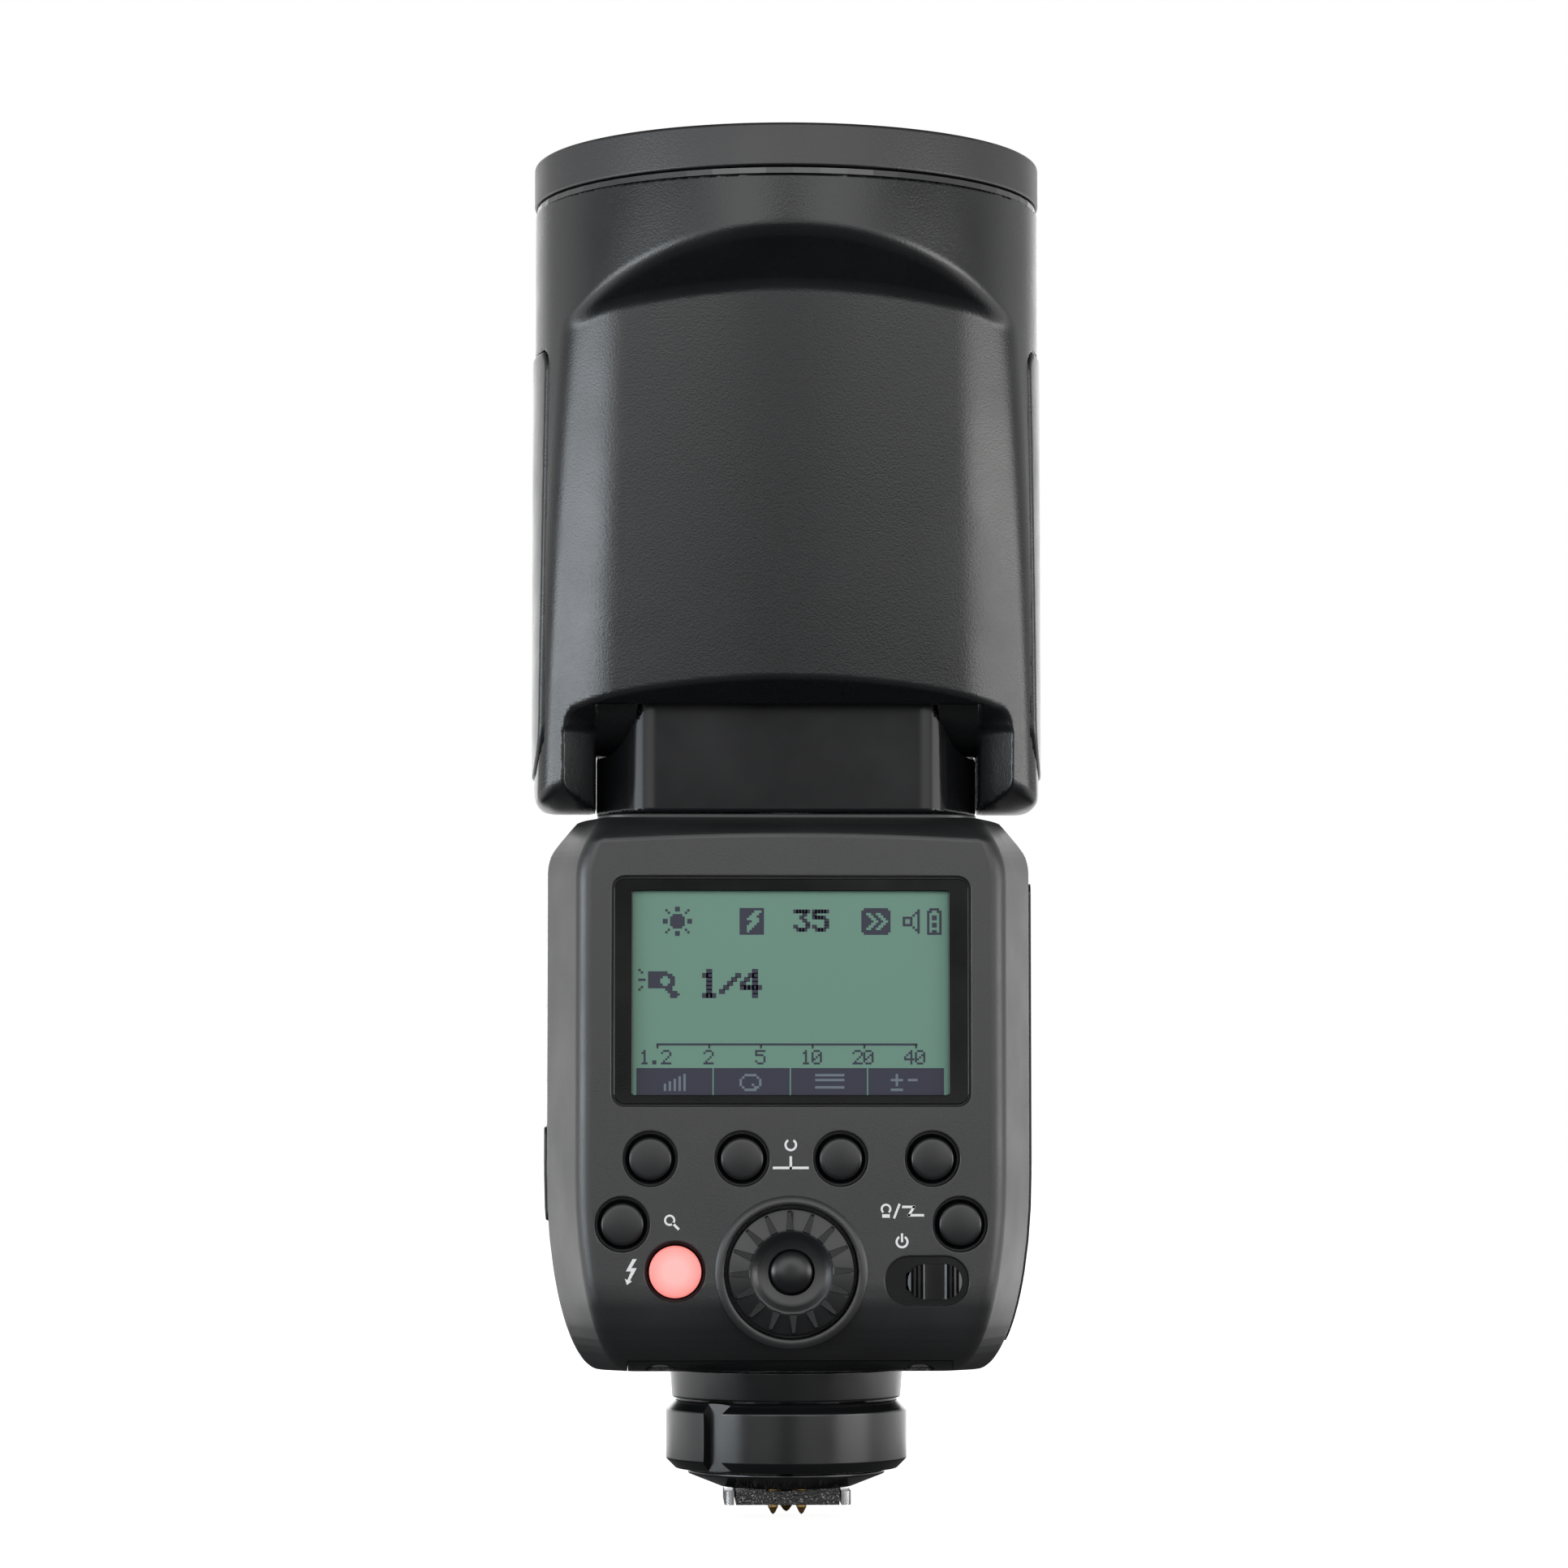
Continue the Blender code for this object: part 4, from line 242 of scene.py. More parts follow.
def floor_paleness(tree):
    """Nought under the object and in front of it, rising to one beside it, behind it and far ahead."""
    place = place_of(tree, "Object")
    x, y = part_of(tree, place, "X"), part_of(tree, place, "Y")
    flare = maths(tree, "MULTIPLY", maths(tree, "MINIMUM", y), -FLOOR_FLARE)
    beside = maths(tree, "SUBTRACT", maths(tree, "ABSOLUTE", x), flare)
    ahead = maths(tree, "MULTIPLY", y, -FLOOR_AHEAD)
    out = maths(tree, "MAXIMUM", maths(tree, "MAXIMUM", beside, y), ahead)
    return spread(tree, out, 0, 1, FLOOR_NEAR, FLOOR_NEAR + FLOOR_FADE)


def floor_paper():
    made, tree, shader = new_material("floor_paper")
    pale = floor_paleness(tree)
    shine = maths(tree, "MULTIPLY", maths(tree, "MULTIPLY", ray(tree, "Glossy"), pale), FLOOR_SHINE)
    shown = maths(tree, "MULTIPLY", seen_directly(tree), FLOOR_GLOW)
    bump = {"Strength": FLOOR_BUMP, "Height": noise(tree, FLOOR_GRAIN)}
    fill(tree, shader, {
        "Base Color": spread(tree, pale, FLOOR_DARK, FLOOR_PALE, 0, 1),
        "Roughness": FLOOR_ROUGHNESS,
        "Emission Color": WHITE,
        "Emission Strength": maths(tree, "MAXIMUM", shown, shine),
        "Normal": node(tree, "Bump", bump, "Normal"),
    })
    return made


def add_floor():
    """Pale floor just under the contacts."""
    mesh = bpy.data.meshes.new("floor")
    bm = bmesh.new()
    bmesh.ops.create_grid(bm, x_segments=1, y_segments=1, size=FLOOR_HALF)
    bm.to_mesh(mesh)
    bm.free()
    mesh.materials.append(floor_paper())
    floor = add_object("floor", mesh)
    floor.location.z = CAD_BOX[0].z - FLOOR_DROP


# Finishes
def finish(name, colour, roughness, metallic=0.0, specular=0.5,
           grain=0.3, relief=0.25, mottle=0.10, smudge=0.05):
    """Principled finish with fine grain, a little unevenness of colour and of gloss."""
    made, tree, shader = new_material(name)
    blotch = noise(tree, BLOTCH_SIZE, BLOTCH_DETAIL)
    dark = (*[c * (1 - mottle) for c in colour], 1)
    pale = (*[min(1.0, c * (1 + mottle)) for c in colour], 1)
    bump = {"Strength": relief, "Distance": grain * MM * GRAIN_RISE, "Height": noise(tree, grain)}
    fill(tree, shader, {
        "Base Color": mixed(tree, spread(tree, blotch, 0, 1), dark, pale),
        "Roughness": spread(tree, blotch, roughness - smudge, roughness + smudge),
        "Metallic": metallic,
        "Specular IOR Level": specular,
        "Normal": node(tree, "Bump", bump, "Normal"),
    })
    return made


def glow(made, middle, reach, inside, rim, strength):
    """Light that comes out of a lit, translucent key, paler toward its middle."""
    tree = made.node_tree
    away = distance_from(tree, place_of(tree, "Object"), Vector(middle) * MM)
    tint = mixed(tree, spread(tree, away, 0, 1, *[r * MM for r in reach]), (*inside, 1), (*rim, 1))
    fill(tree, tree.nodes["Principled BSDF"], {"Emission Color": tint, "Emission Strength": strength})


def speckle(made, size, colour):
    """Bright grains all over a finish."""
    tree = made.node_tree
    base = tree.nodes["Principled BSDF"].inputs["Base Color"]
    share = spread(tree, noise(tree, size, 0.0), 0, 1, *SPECKLE_LEVELS)
    tree.links.new(mixed(tree, share, base.links[0].from_socket, (*colour, 1)), base)


# Solids as corner points and faces
CORNER_SHARE = 0.48


def rounded(corners, radii, steps=4, closed=True):
    """Outline with its corners rounded, each by its own radius."""
    count = len(corners)
    outline = []
    for i, corner in enumerate(corners):
        here = Vector(corner)
        radius = radii[i] if hasattr(radii, "__len__") else radii
        if radius <= 0 or (not closed and i in (0, count - 1)):
            outline.append(tuple(here))
            continue
        before, after = Vector(corners[i - 1]) - here, Vector(corners[(i + 1) % count]) - here
        half = before.angle(after) / 2
        longest = CORNER_SHARE * min(before.length, after.length)
        reach = min(radius / math.tan(half), longest)
        radius = reach * math.tan(half)
        start, end = here + before.normalized() * reach, here + after.normalized() * reach
        middle = (before.normalized() + after.normalized()).normalized()
        centre = here + middle * (radius / math.sin(half))
        a, b = start - centre, end - centre
        turn = math.atan2(a.x * b.y - a.y * b.x, a.dot(b))
        for step in range(steps + 1):
            angle = turn * step / steps
            c, s = math.cos(angle), math.sin(angle)
            outline.append((centre.x + a.x * c - a.y * s, centre.y + a.x * s + a.y * c))
    return outline


def round_box(centre, width, height, radius, steps=6):
    x, y = centre
    a, b = width / 2, height / 2
    return rounded([(x - a, y - b), (x + a, y - b), (x + a, y + b), (x - a, y + b)], radius, steps)


def grown_box(centre, size, radius, gap, steps=6):
    return round_box(centre, size[0] + 2 * gap, size[1] + 2 * gap, radius + gap, steps)


def circle(x, y, radius, steps):
    angles = [2 * math.pi * k / steps for k in range(steps)]
    return [(x + radius * math.cos(a), y + radius * math.sin(a)) for a in angles]


def loft(rings):
    """Closed solid through rings of points, all of the same number."""
    count = len(rings[0])
    points = [point for ring in rings for point in ring]
    faces = [tuple(range(count))]
    for level in range(len(rings) - 1):
        a = level * count
        for i in range(count):
            j = (i + 1) % count
            faces.append((a + i, a + j, a + count + j, a + count + i))
    last = (len(rings) - 1) * count
    faces.append(tuple(range(last, last + count)))
    return points, faces


def turned(profile, steps=96):
    """Solid of revolution about Z from a closed profile of (radius, height)."""
    points, faces, rings = [], [], []
    for radius, height in profile:
        first = len(points)
        if radius < 1e-6:
            points.append((0, 0, height))
            rings.append([first] * steps)
        else:
            points += [(x, y, height) for x, y in circle(0, 0, radius, steps)]
            rings.append(list(range(first, first + steps)))
    for low, high in zip(rings, rings[1:] + rings[:1]):
        for i in range(steps):
            j = (i + 1) % steps
            face = list(dict.fromkeys((low[i], low[j], high[j], high[i])))
            if len(face) > 2:
                faces.append(face)
    return points, faces


def cylinder(radius, start, end, steps):
    return turned([(0, start), (radius, start), (radius, end), (0, end)], steps)


def prism(outline, axis, start, end):
    """Outline drawn along an axis: X takes (y, z), Y takes (x, z) and Z takes (x, y)."""
    def place(a, b, c):
        return {"X": (c, a, b), "Y": (a, c, b), "Z": (a, b, c)}[axis]
    return loft([[place(a, b, c) for a, b in outline] for c in (start, end)])


def block(low, high):
    (x0, y0, z0), (x1, y1, z1) = low, high
    return prism([(x0, y0), (x1, y0), (x1, y1), (x0, y1)], "Z", z0, z1)


def several(solids):
    points, faces = [], []
    for some_points, some_faces in solids:
        first = len(points)
        points += some_points
        faces += [tuple(first + i for i in face) for face in some_faces]
    return points, faces


def moved(solid, matrix):
    points, faces = solid
    return [tuple(matrix @ Vector(p)) for p in points], faces


def shifted(solid, x, y):
    return moved(solid, Matrix.Translation((x, y, 0)))


def on_panel(solid, x, z):
    """Solid made about Z, placed on the control panel with its top toward the viewer."""
    return moved(solid, Matrix.Translation((x, PANEL_Y, z)) @ TO_PANEL)


def into_panel(outline, start, end):
    """Outline in (x, z), drawn between two depths behind the panel's face."""
    return prism(outline, "Y", PANEL_Y + start, PANEL_Y + end)


# Meshes and pieces
def as_mesh(shape):
    """Mesh of a solid, or the mesh itself."""
    if isinstance(shape, bpy.types.Mesh):
        return shape
    points, faces = shape
    mesh = bpy.data.meshes.new("solid")
    mesh.from_pydata([tuple(c * MM for c in p) for p in points], [], faces)
    bm = bmesh.new()
    bm.from_mesh(mesh)
    bmesh.ops.recalc_face_normals(bm, faces=bm.faces)
    bm.to_mesh(mesh)
    bm.free()
    return mesh


def combined(shape, solid, operation):
    """Mesh after an exact Boolean with a solid."""
    item, tool = add_object("item", as_mesh(shape)), add_object("tool", as_mesh(solid))
    step = item.modifiers.new("step", "BOOLEAN")
    step.operation = operation
    step.solver = "EXACT"
    step.object = tool
    bpy.context.view_layer.update()
    made = bpy.data.meshes.new_from_object(item.evaluated_get(bpy.context.evaluated_depsgraph_get()))
    for thing in (item, tool):
        spare = thing.data
        bpy.data.objects.remove(thing)
        bpy.data.meshes.remove(spare)
    return made


def cut(shape, *solids):
    for solid in solids:
        shape = combined(shape, solid, "DIFFERENCE")
    return shape


def soften(piece, width):
    bevel = piece.modifiers.new("bevel", "BEVEL")
    bevel.width = width * MM
    bevel.segments = 2
    bevel.limit_method = "ANGLE"
    bevel.angle_limit = math.radians(40)


def add_piece(name, shape, material, body, nodes=None, sharp=32, bevel=0.0, weighted=True):
    """Visible piece that moves with a CAD body and stands for CAD nodes, or for the one of its own name."""
    nodes = (name,) if nodes is None else nodes
    mesh = as_mesh(shape)
    mesh.name = name
    if sharp:
        mesh.shade_smooth()
        mesh.set_sharp_from_angle(angle=math.radians(sharp))
    mesh.materials.clear()
    mesh.materials.append(material)
    piece = add_object(name, mesh)
    if bevel:
        soften(piece, bevel)
    if weighted:
        piece.modifiers.new("weighted", "WEIGHTED_NORMAL").keep_sharp = True
    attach(piece, body)
    if nodes:
        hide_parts(*nodes)


# Openings in the panel, with rounded rims
RIM_STEPS, RIM_CLEAR, RIM_ABOVE = 4, 0.02, 1.5


def flared(outline_at, lip, depth):
    """Cutter for an opening with a rounded rim: outline_at gives the outline grown by a length."""
    levels = [(lip + RIM_CLEAR, RIM_ABOVE), (lip + RIM_CLEAR, RIM_CLEAR / 2)]
    for step in range(RIM_STEPS + 1):
        angle = math.pi / 2 * step / RIM_STEPS
        levels.append((lip * (1 - math.sin(angle)), -lip * (1 - math.cos(angle))))
    levels.append((0.0, -depth))
    return loft([[(x, PANEL_Y - height, z) for x, z in outline_at(grow)] for grow, height in levels])


def round_hole(x, z, radius, lip, depth):
    return flared(lambda grow: circle(x, z, radius + grow, 48), lip, depth)


def box_hole(centre, size, radius, lip, depth):
    return flared(lambda grow: grown_box(centre, size, radius, grow, 8), lip, depth)


# Smooth solids from distance fields, with roundings of their edges from crisp to broad
CRISP, EDGE, ROUND, FULL, SOFT, BROAD, WIDE = 0.25, 0.3, 0.4, 0.5, 0.6, 0.8, 1.0
# Drawing of corners onto the field's zero level: rounds, probe length, least slope and longest move
SETTLE_ROUNDS, PROBE, SLOPE_LEAST, MOVE_MOST = 4, 0.03, 0.05, 0.25


def smax(a, b, k):
    """Larger of two distances, with a rounded edge of about k where they meet."""
    h = np.maximum(k - np.abs(a - b), 0.0)
    return np.maximum(a, b) + h * h / (4 * k)


def smin(a, b, k):
    return -smax(-a, -b, k)


def round_corner(a, b, radius):
    """Distance outside the corner of two walls, rounded by a radius."""
    a, b = a + radius, b + radius
    return np.hypot(np.maximum(a, 0), np.maximum(b, 0)) + np.minimum(np.maximum(a, b), 0) - radius


def gradient(field, points):
    columns = []
    for step in PROBE * np.eye(3):
        columns.append((field(*(points + step).T) - field(*(points - step).T)) / (2 * PROBE))
    return np.stack(columns, axis=1)


def spaced(low, high, step, fine=()):
    """Places from low to high at one spacing, or closer within (start, end, spacing) stretches."""
    places, z = [], low
    while z < high + step:
        places.append(z)
        z += min([step] + [close for start, end, close in fine if start <= z < end])
    return np.array(places)


def crossings(values, active, cells, axes):
    """Mean place where the edges of each cell cross the field's zero level."""
    nx, ny, nz = (n - 1 for n in values.shape)

    def corner(offset):
        i, j, k = offset
        return values[i:i + nx, j:j + ny, k:k + nz][active]

    total, hits = np.zeros((len(cells), 3)), np.zeros(len(cells))
    for a in np.ndindex(2, 2, 2):
        for axis in range(3):
            if a[axis]:
                continue
            b = tuple(v + (d == axis) for d, v in enumerate(a))
            fa, fb = corner(a), corner(b)
            crossed = (fa < 0) != (fb < 0)
            share = np.where(crossed, fa / np.where(crossed, fa - fb, 1.0), 0.0)
            spot = cells + np.array(a, float)
            spot[:, axis] += share
            total += np.where(crossed[:, None], spot, 0.0)
            hits += crossed
    middle = total / hits[:, None]
    return np.stack([np.interp(middle[:, d], np.arange(len(axes[d])), axes[d]) for d in range(3)], axis=1)


def crossed_quads(inside, number):
    """Faces round the grid edges that cross the zero level, as numbers of the cells beside them."""
    quads = []
    for axis in range(3):
        u, v = (axis + 1) % 3, (axis + 2) % 3
        first = inside.take(range(inside.shape[axis] - 1), axis=axis)
        second = inside.take(range(1, inside.shape[axis]), axis=axis)
        spots = np.argwhere(first != second)
        flip = ~first[tuple(spots.T)]
        ring = []
        for du, dv in ((-1, -1), (0, -1), (0, 0), (-1, 0)):
            cell = spots.copy()
            cell[:, u] += du
            cell[:, v] += dv
            ring.append(number[tuple(cell.T)])
        ring = np.stack(ring, axis=1)
        ring[flip] = ring[flip][:, ::-1]
        quads += ring.tolist()
    return quads


def field_mesh(field, axes):
    """Mesh on a field's zero level: one corner per crossed cell, drawn onto the level, with true normals."""
    values = field(*np.meshgrid(*axes, indexing="ij"))
    inside = values < 0
    nx, ny, nz = (n - 1 for n in values.shape)
    count = sum(inside[i:i + nx, j:j + ny, k:k + nz].astype(int) for i, j, k in np.ndindex(2, 2, 2))
    active = (count > 0) & (count < 8)
    cells = np.argwhere(active)
    number = np.full(active.shape, -1)
    number[active] = np.arange(len(cells))
    points = crossings(values, active, cells, axes)
    for _ in range(SETTLE_ROUNDS):
        slope = gradient(field, points)
        square = np.maximum((slope * slope).sum(axis=1), SLOPE_LEAST)
        points -= np.clip((field(*points.T) / square)[:, None] * slope, -MOVE_MOST, MOVE_MOST)
    mesh = bpy.data.meshes.new("field")
    mesh.from_pydata(points * MM, [], crossed_quads(inside, number))
    mesh.shade_smooth()
    slope = gradient(field, points)
    normals = slope / np.maximum(np.linalg.norm(slope, axis=1), 1e-9)[:, None]
    mesh.normals_split_custom_set_from_vertices([tuple(n) for n in normals])
    return mesh


def add_field(name, field, axes, material, body, nodes=None):
    add_piece(name, field_mesh(field, axes), material, body, nodes, sharp=0, weighted=False)


# Head shell
COVE_TOP, COVE_SLOPE = 184.2, 0.60
BACK = dict(depth=20.8, lean=0.125, crown=84.6, facet=28.0, facet_lean=0.102, angle=math.radians(30))
FRONT = dict(depth=14.85, lean=0.100, crown=300.0, facet=34.7, facet_lean=0.050, angle=math.radians(50))
CREASE, FOLD, RELIEF_EDGE = 0.6, 1.1, 1.5
TOP_RAISE = 0.2
GAP_HALF, GAP_RADIUS, GAP_ANGLE = 28.55, 10.7, math.radians(30)
HUB_RADIUS, HUB_INNER, HUB_ROOT = 10.05, 22.1, 1.5
ARM_RADIUS, ARM_CORNER = 19.0, 4.0
ARM_LEDGE = TILT_Z + ARM_RADIUS * math.sin(math.radians(195))
BEVEL_WIDTH, BEVEL_SLOPE, BEVEL_INSIDE, BEVEL_FRONT, BEVEL_DROP = 4.7, 1.5, 0.5, 6.0, 6.5
LIP_START, LIP_SLOPE, LIP_DROP, LIP_FLARE, LIP_SCALE = 7.1, 0.53, 7.3, 0.80, 0.8
LIP_CORNER, LIP_CORNER_GROWTH, LIP_CORNER_RANGE = 1.0, 0.25, (0.6, 6.0)
CAVITY_RADIUS, CAVITY_SIDE, CAVITY_SIDE_TOP, CAVITY_FLOOR = 35.5, 32.9, 172.9, 134.3
HEAD_WALL = 2.4
PIN_BORE, PIN_SEAT, PIN_SEAT_X, PIN_RUN = 3.5, 5.3, 32.0, 2.0
TRIM_TOP, TRIM_LOW = 170.5, 107.2
TRIM_TOP_HALF, TRIM_LOW_HALF = 13.0, 9.5
TRIM_TOP_CORNER, TRIM_LOW_CORNER = 3.0, 8.0
TRIM_SEAT, TRIM_RADIUS, TRIM_GAP = 34.4, 38.2, 0.25
# Spacing of the grids that the fields are drawn on, closer in some stretches
HEAD_STEP, TRIM_STEP, BLOCK_STEP = 0.8, 0.4, 0.5
HEAD_MARGIN, TRIM_INSIDE, TRIM_OUTSIDE = 1.6, 0.6, 0.9
HEAD_FINE_X = ((-39.5, -32.4, 0.4), (32.4, 39.5, 0.4))
HEAD_FINE_Y = ((-14.2, -8.4, 0.4), (8.4, 14.2, 0.4))
HEAD_FINE_Z = ((105.0, 123.0, 0.4), (168.0, 187.0, 0.45), (191.0, 193.0, 0.4))


def relief_field(x, t, z, shape, wall=0.0):
    """Distance beyond a flattened side of the head: crowned panel, facets and a sloping cove above."""
    rise = z - TILT_Z
    crown = t - (shape["depth"] + shape["lean"] * rise - wall) + x * x / (2 * shape["crown"])
    facet = np.abs(x) * math.sin(shape["angle"]) + t * math.cos(shape["angle"])
    facet = facet - (shape["facet"] + shape["facet_lean"] * rise - wall)
    core = smax(crown, facet, CREASE)
    slant = math.sqrt(1 + COVE_SLOPE * COVE_SLOPE)
    cove = (z - (COVE_TOP - COVE_SLOPE * (HEAD_RADIUS - t))) / slant - wall
    return smin(core, -cove, FOLD)


def gap_field(x, y, z):
    """Space that the pivot block sweeps, and the flared mouth behind it."""
    rise = z - TILT_Z
    c, s = math.cos(GAP_ANGLE), math.sin(GAP_ANGLE)
    turning = (y <= 0) & (rise >= 0) & (-s * y <= c * rise)
    roof = np.where(turning, np.hypot(y, rise), np.maximum(s * rise - c * y, rise)) - GAP_RADIUS
    swept = smax(np.abs(x) - GAP_HALF, roof, ROUND)
    depth = -y - LIP_START
    corner = np.clip(LIP_CORNER + LIP_CORNER_GROWTH * depth, *LIP_CORNER_RANGE)
    across = np.abs(x) - (GAP_HALF + LIP_FLARE * depth)
    above = z - (TILT_Z - LIP_DROP + LIP_SLOPE * depth)
    mouth = smax(round_corner(across, above, corner) * LIP_SCALE, -depth, EDGE)
    return smin(swept, mouth, EDGE)


def trim_field(y, z, gap):
    """Side view of a trim plate, grown by a gap."""
    share = (z - TRIM_LOW) / (TRIM_TOP - TRIM_LOW)
    half = TRIM_LOW_HALF + (TRIM_TOP_HALF - TRIM_LOW_HALF) * share + gap
    corner = np.where(share > 0.5, TRIM_TOP_CORNER, TRIM_LOW_CORNER) + gap
    middle, half_z = (TRIM_TOP + TRIM_LOW) / 2, (TRIM_TOP - TRIM_LOW) / 2 + gap
    return round_corner(np.abs(y) - half, np.abs(z - middle) - half_z, corner)


def arms_field(x, y, z):
    """Outside of the head with its two reliefs and the rounded, bevelled arms below."""
    wide = np.abs(x)
    solid = smax(np.hypot(x, y) - HEAD_RADIUS, z - HEAD_TOP - TOP_RAISE, CRISP)
    back = smax(solid, relief_field(x, -y, z, BACK), RELIEF_EDGE)
    solid = smax(back, relief_field(x, y, z, FRONT), RELIEF_EDGE)
    solid = smax(solid, np.minimum(ARM_LEDGE - z, np.hypot(y, z - TILT_Z) - ARM_RADIUS), WIDE)
    solid = smax(solid, round_corner(wide - HEAD_RADIUS - FIT, TILT_Z - ARM_RADIUS - z, ARM_CORNER), BROAD)
    bevel = (BEVEL_SLOPE * (wide - GAP_HALF - BEVEL_WIDTH) - back) / math.hypot(1, BEVEL_SLOPE)
    bevel = np.maximum(np.maximum(bevel, GAP_HALF - BEVEL_INSIDE - wide), y - BEVEL_FRONT)
    bevel = smax(bevel, z - TILT_Z + BEVEL_DROP, WIDE)
    return smax(solid, -bevel, CRISP)


def head_hollow(x, y, z):
    hollow = smax(np.hypot(x, y) - CAVITY_RADIUS, CAVITY_FLOOR - z, WIDE)
    hollow = np.maximum(hollow, np.minimum(np.abs(x) - CAVITY_SIDE, CAVITY_SIDE_TOP - z))
    hollow = smax(hollow, relief_field(x, -y, z, BACK, HEAD_WALL), WIDE)
    return smax(hollow, relief_field(x, y, z, FRONT, HEAD_WALL), WIDE)


def head_field(x, y, z):
    wide, swing = np.abs(x), np.hypot(y, z - TILT_Z)
    solid = smax(arms_field(x, y, z), -gap_field(x, y, z), SOFT)
    hub = smax(swing - HUB_RADIUS, np.maximum(HUB_INNER - wide, wide - GAP_HALF - HUB_ROOT), ROUND)
    solid = smin(solid, hub, EDGE)
    bore = np.minimum(swing - PIN_BORE, np.maximum(swing - PIN_SEAT, PIN_SEAT_X - wide))
    solid = smax(solid, -np.maximum(bore, HUB_INNER - PIN_RUN - wide), EDGE)
    pocket = smax(trim_field(y, z, TRIM_GAP), TRIM_SEAT - wide, EDGE)
    solid = smax(solid, -pocket, EDGE)
    return smax(solid, -head_hollow(x, y, z), ROUND)


def head_shell():
    reach = HEAD_RADIUS + HEAD_MARGIN
    across = spaced(-reach, reach, HEAD_STEP, HEAD_FINE_X)
    along = spaced(-reach, reach, HEAD_STEP, HEAD_FINE_Y)
    upward = spaced(TILT_Z - ARM_RADIUS - HEAD_MARGIN, HEAD_TOP + HEAD_MARGIN, HEAD_STEP, HEAD_FINE_Z)
    nodes = ("head_rear_shell", "head_front_shell")
    add_field("head_shell", head_field, (across, along, upward), SHELL, "head", nodes)


def side_trims():
    for name, side in (("side_trim_left", -1), ("side_trim_right", 1)):
        def plate(x, y, z):
            solid = smax(trim_field(y, z, 0.0), np.hypot(x, y) - TRIM_RADIUS, SOFT)
            return smax(solid, TRIM_SEAT + FIT - side * x, EDGE)
        ends = sorted((side * (TRIM_SEAT - TRIM_INSIDE), side * (TRIM_RADIUS + TRIM_OUTSIDE)))
        half = TRIM_TOP_HALF + 1
        spans = (ends, (-half, half), (TRIM_LOW - 1, TRIM_TOP + 1))
        add_field(name, plate, [spaced(*span, TRIM_STEP) for span in spans], SHELL, "head")


# Pivot block and turntable plate
TABLE_LOW, TABLE_HIGH, TABLE_INSET, BLOCK_LOW = 100.9, 101.8, 0.4, 101.9
BLOCK_HALF, BLOCK_HALF_DEPTH, BLOCK_CORNER = 28.48, 10.35, 6.4
BLOCK_FACE_HALF, BLOCK_BEVEL, BLOCK_FOLD, BLOCK_PLAN_EDGE = 22.4, math.radians(60), 2.6, 0.2
DRUM_INSET, DRUM_EDGE = 0.1, 0.05
SHOULDER_MIDDLE, SHOULDER_RADIUS, SHOULDER_BACK, SHOULDER_INSET = (8.2, 104.0), 20.3, 2.5, 0.2
BLOCK_NECK_HALF, BLOCK_PIN_DEPTH = 21.8, 7.8
SHAFT_BORE, SHAFT_BORE_TOP, SHAFT_CUT = 8.6, 111.2, (90, 110)


def block_field(x, y, z):
    wide, swing, back = np.abs(x), np.hypot(y, z - TILT_Z), -y
    plan = round_corner(wide - BLOCK_HALF, y - BLOCK_HALF_DEPTH, BLOCK_CORNER)
    face = back - BLOCK_HALF_DEPTH
    slant = (wide - BLOCK_FACE_HALF) * math.sin(BLOCK_BEVEL) + face * math.cos(BLOCK_BEVEL)
    plan = smax(plan, smax(face, slant, BLOCK_FOLD), BLOCK_PLAN_EDGE)
    solid = smax(plan, np.maximum(BLOCK_LOW - z, z - TILT_Z), FULL)
    drum = smax(swing - BLOCK_HALF_DEPTH + DRUM_INSET, wide - BLOCK_NECK_HALF, ROUND)
    solid = smin(solid, drum, DRUM_EDGE)
    solid = smax(solid, -smax(swing - HUB_RADIUS - FIT, BLOCK_NECK_HALF - wide, EDGE), FULL)
    shoulder = np.hypot(wide - SHOULDER_MIDDLE[0], np.maximum(z - SHOULDER_MIDDLE[1], 0)) - SHOULDER_RADIUS
    shoulder = np.minimum(np.minimum(shoulder, back - SHOULDER_BACK), wide - BLOCK_NECK_HALF + SHOULDER_INSET)
    solid = smax(solid, shoulder, EDGE)
    shaft = smax(np.hypot(x, y) - SHAFT_BORE, z - SHAFT_BORE_TOP, EDGE)
    solid = smax(solid, -shaft, EDGE)
    pins = np.maximum(swing - PIN_BORE, BLOCK_NECK_HALF - BLOCK_PIN_DEPTH - wide)
    return smax(solid, -pins, EDGE)


def pivot_block():
    ends = [(-half - 1, half + 1) for half in (BLOCK_HALF, BLOCK_HALF_DEPTH)]
    ends.append((BLOCK_LOW - 1, TILT_Z + BLOCK_HALF_DEPTH + 1))
    axes = [spaced(*span, BLOCK_STEP) for span in ends]
    add_field("pivot_block", block_field, axes, PIVOT, "turntable")
    size = (2 * BLOCK_HALF - TABLE_INSET, 2 * BLOCK_HALF_DEPTH - TABLE_INSET)
    plate = prism(round_box((0, 0), *size, BLOCK_CORNER, 8), "Z", TABLE_LOW, TABLE_HIGH)
    plate = cut(plate, cylinder(SHAFT_BORE, *SHAFT_CUT, 64))
    add_piece("turntable_plate", plate, PANEL, "turntable", bevel=0.2)


# Bezel ring: corners of its section with the radius of each
BEZEL_SECTION = [
    (37.98, 199.85), (37.98, 193.6), (35.2, 193.6), (35.2, 188.1),
    (33.0, 188.1), (33.0, 194.6), (34.9, 194.6), (34.9, 199.85),
]
BEZEL_ROUNDS = [0.55, 0.3, 0.1, 0.2, 0.2, 0.15, 0.1, 0.4]


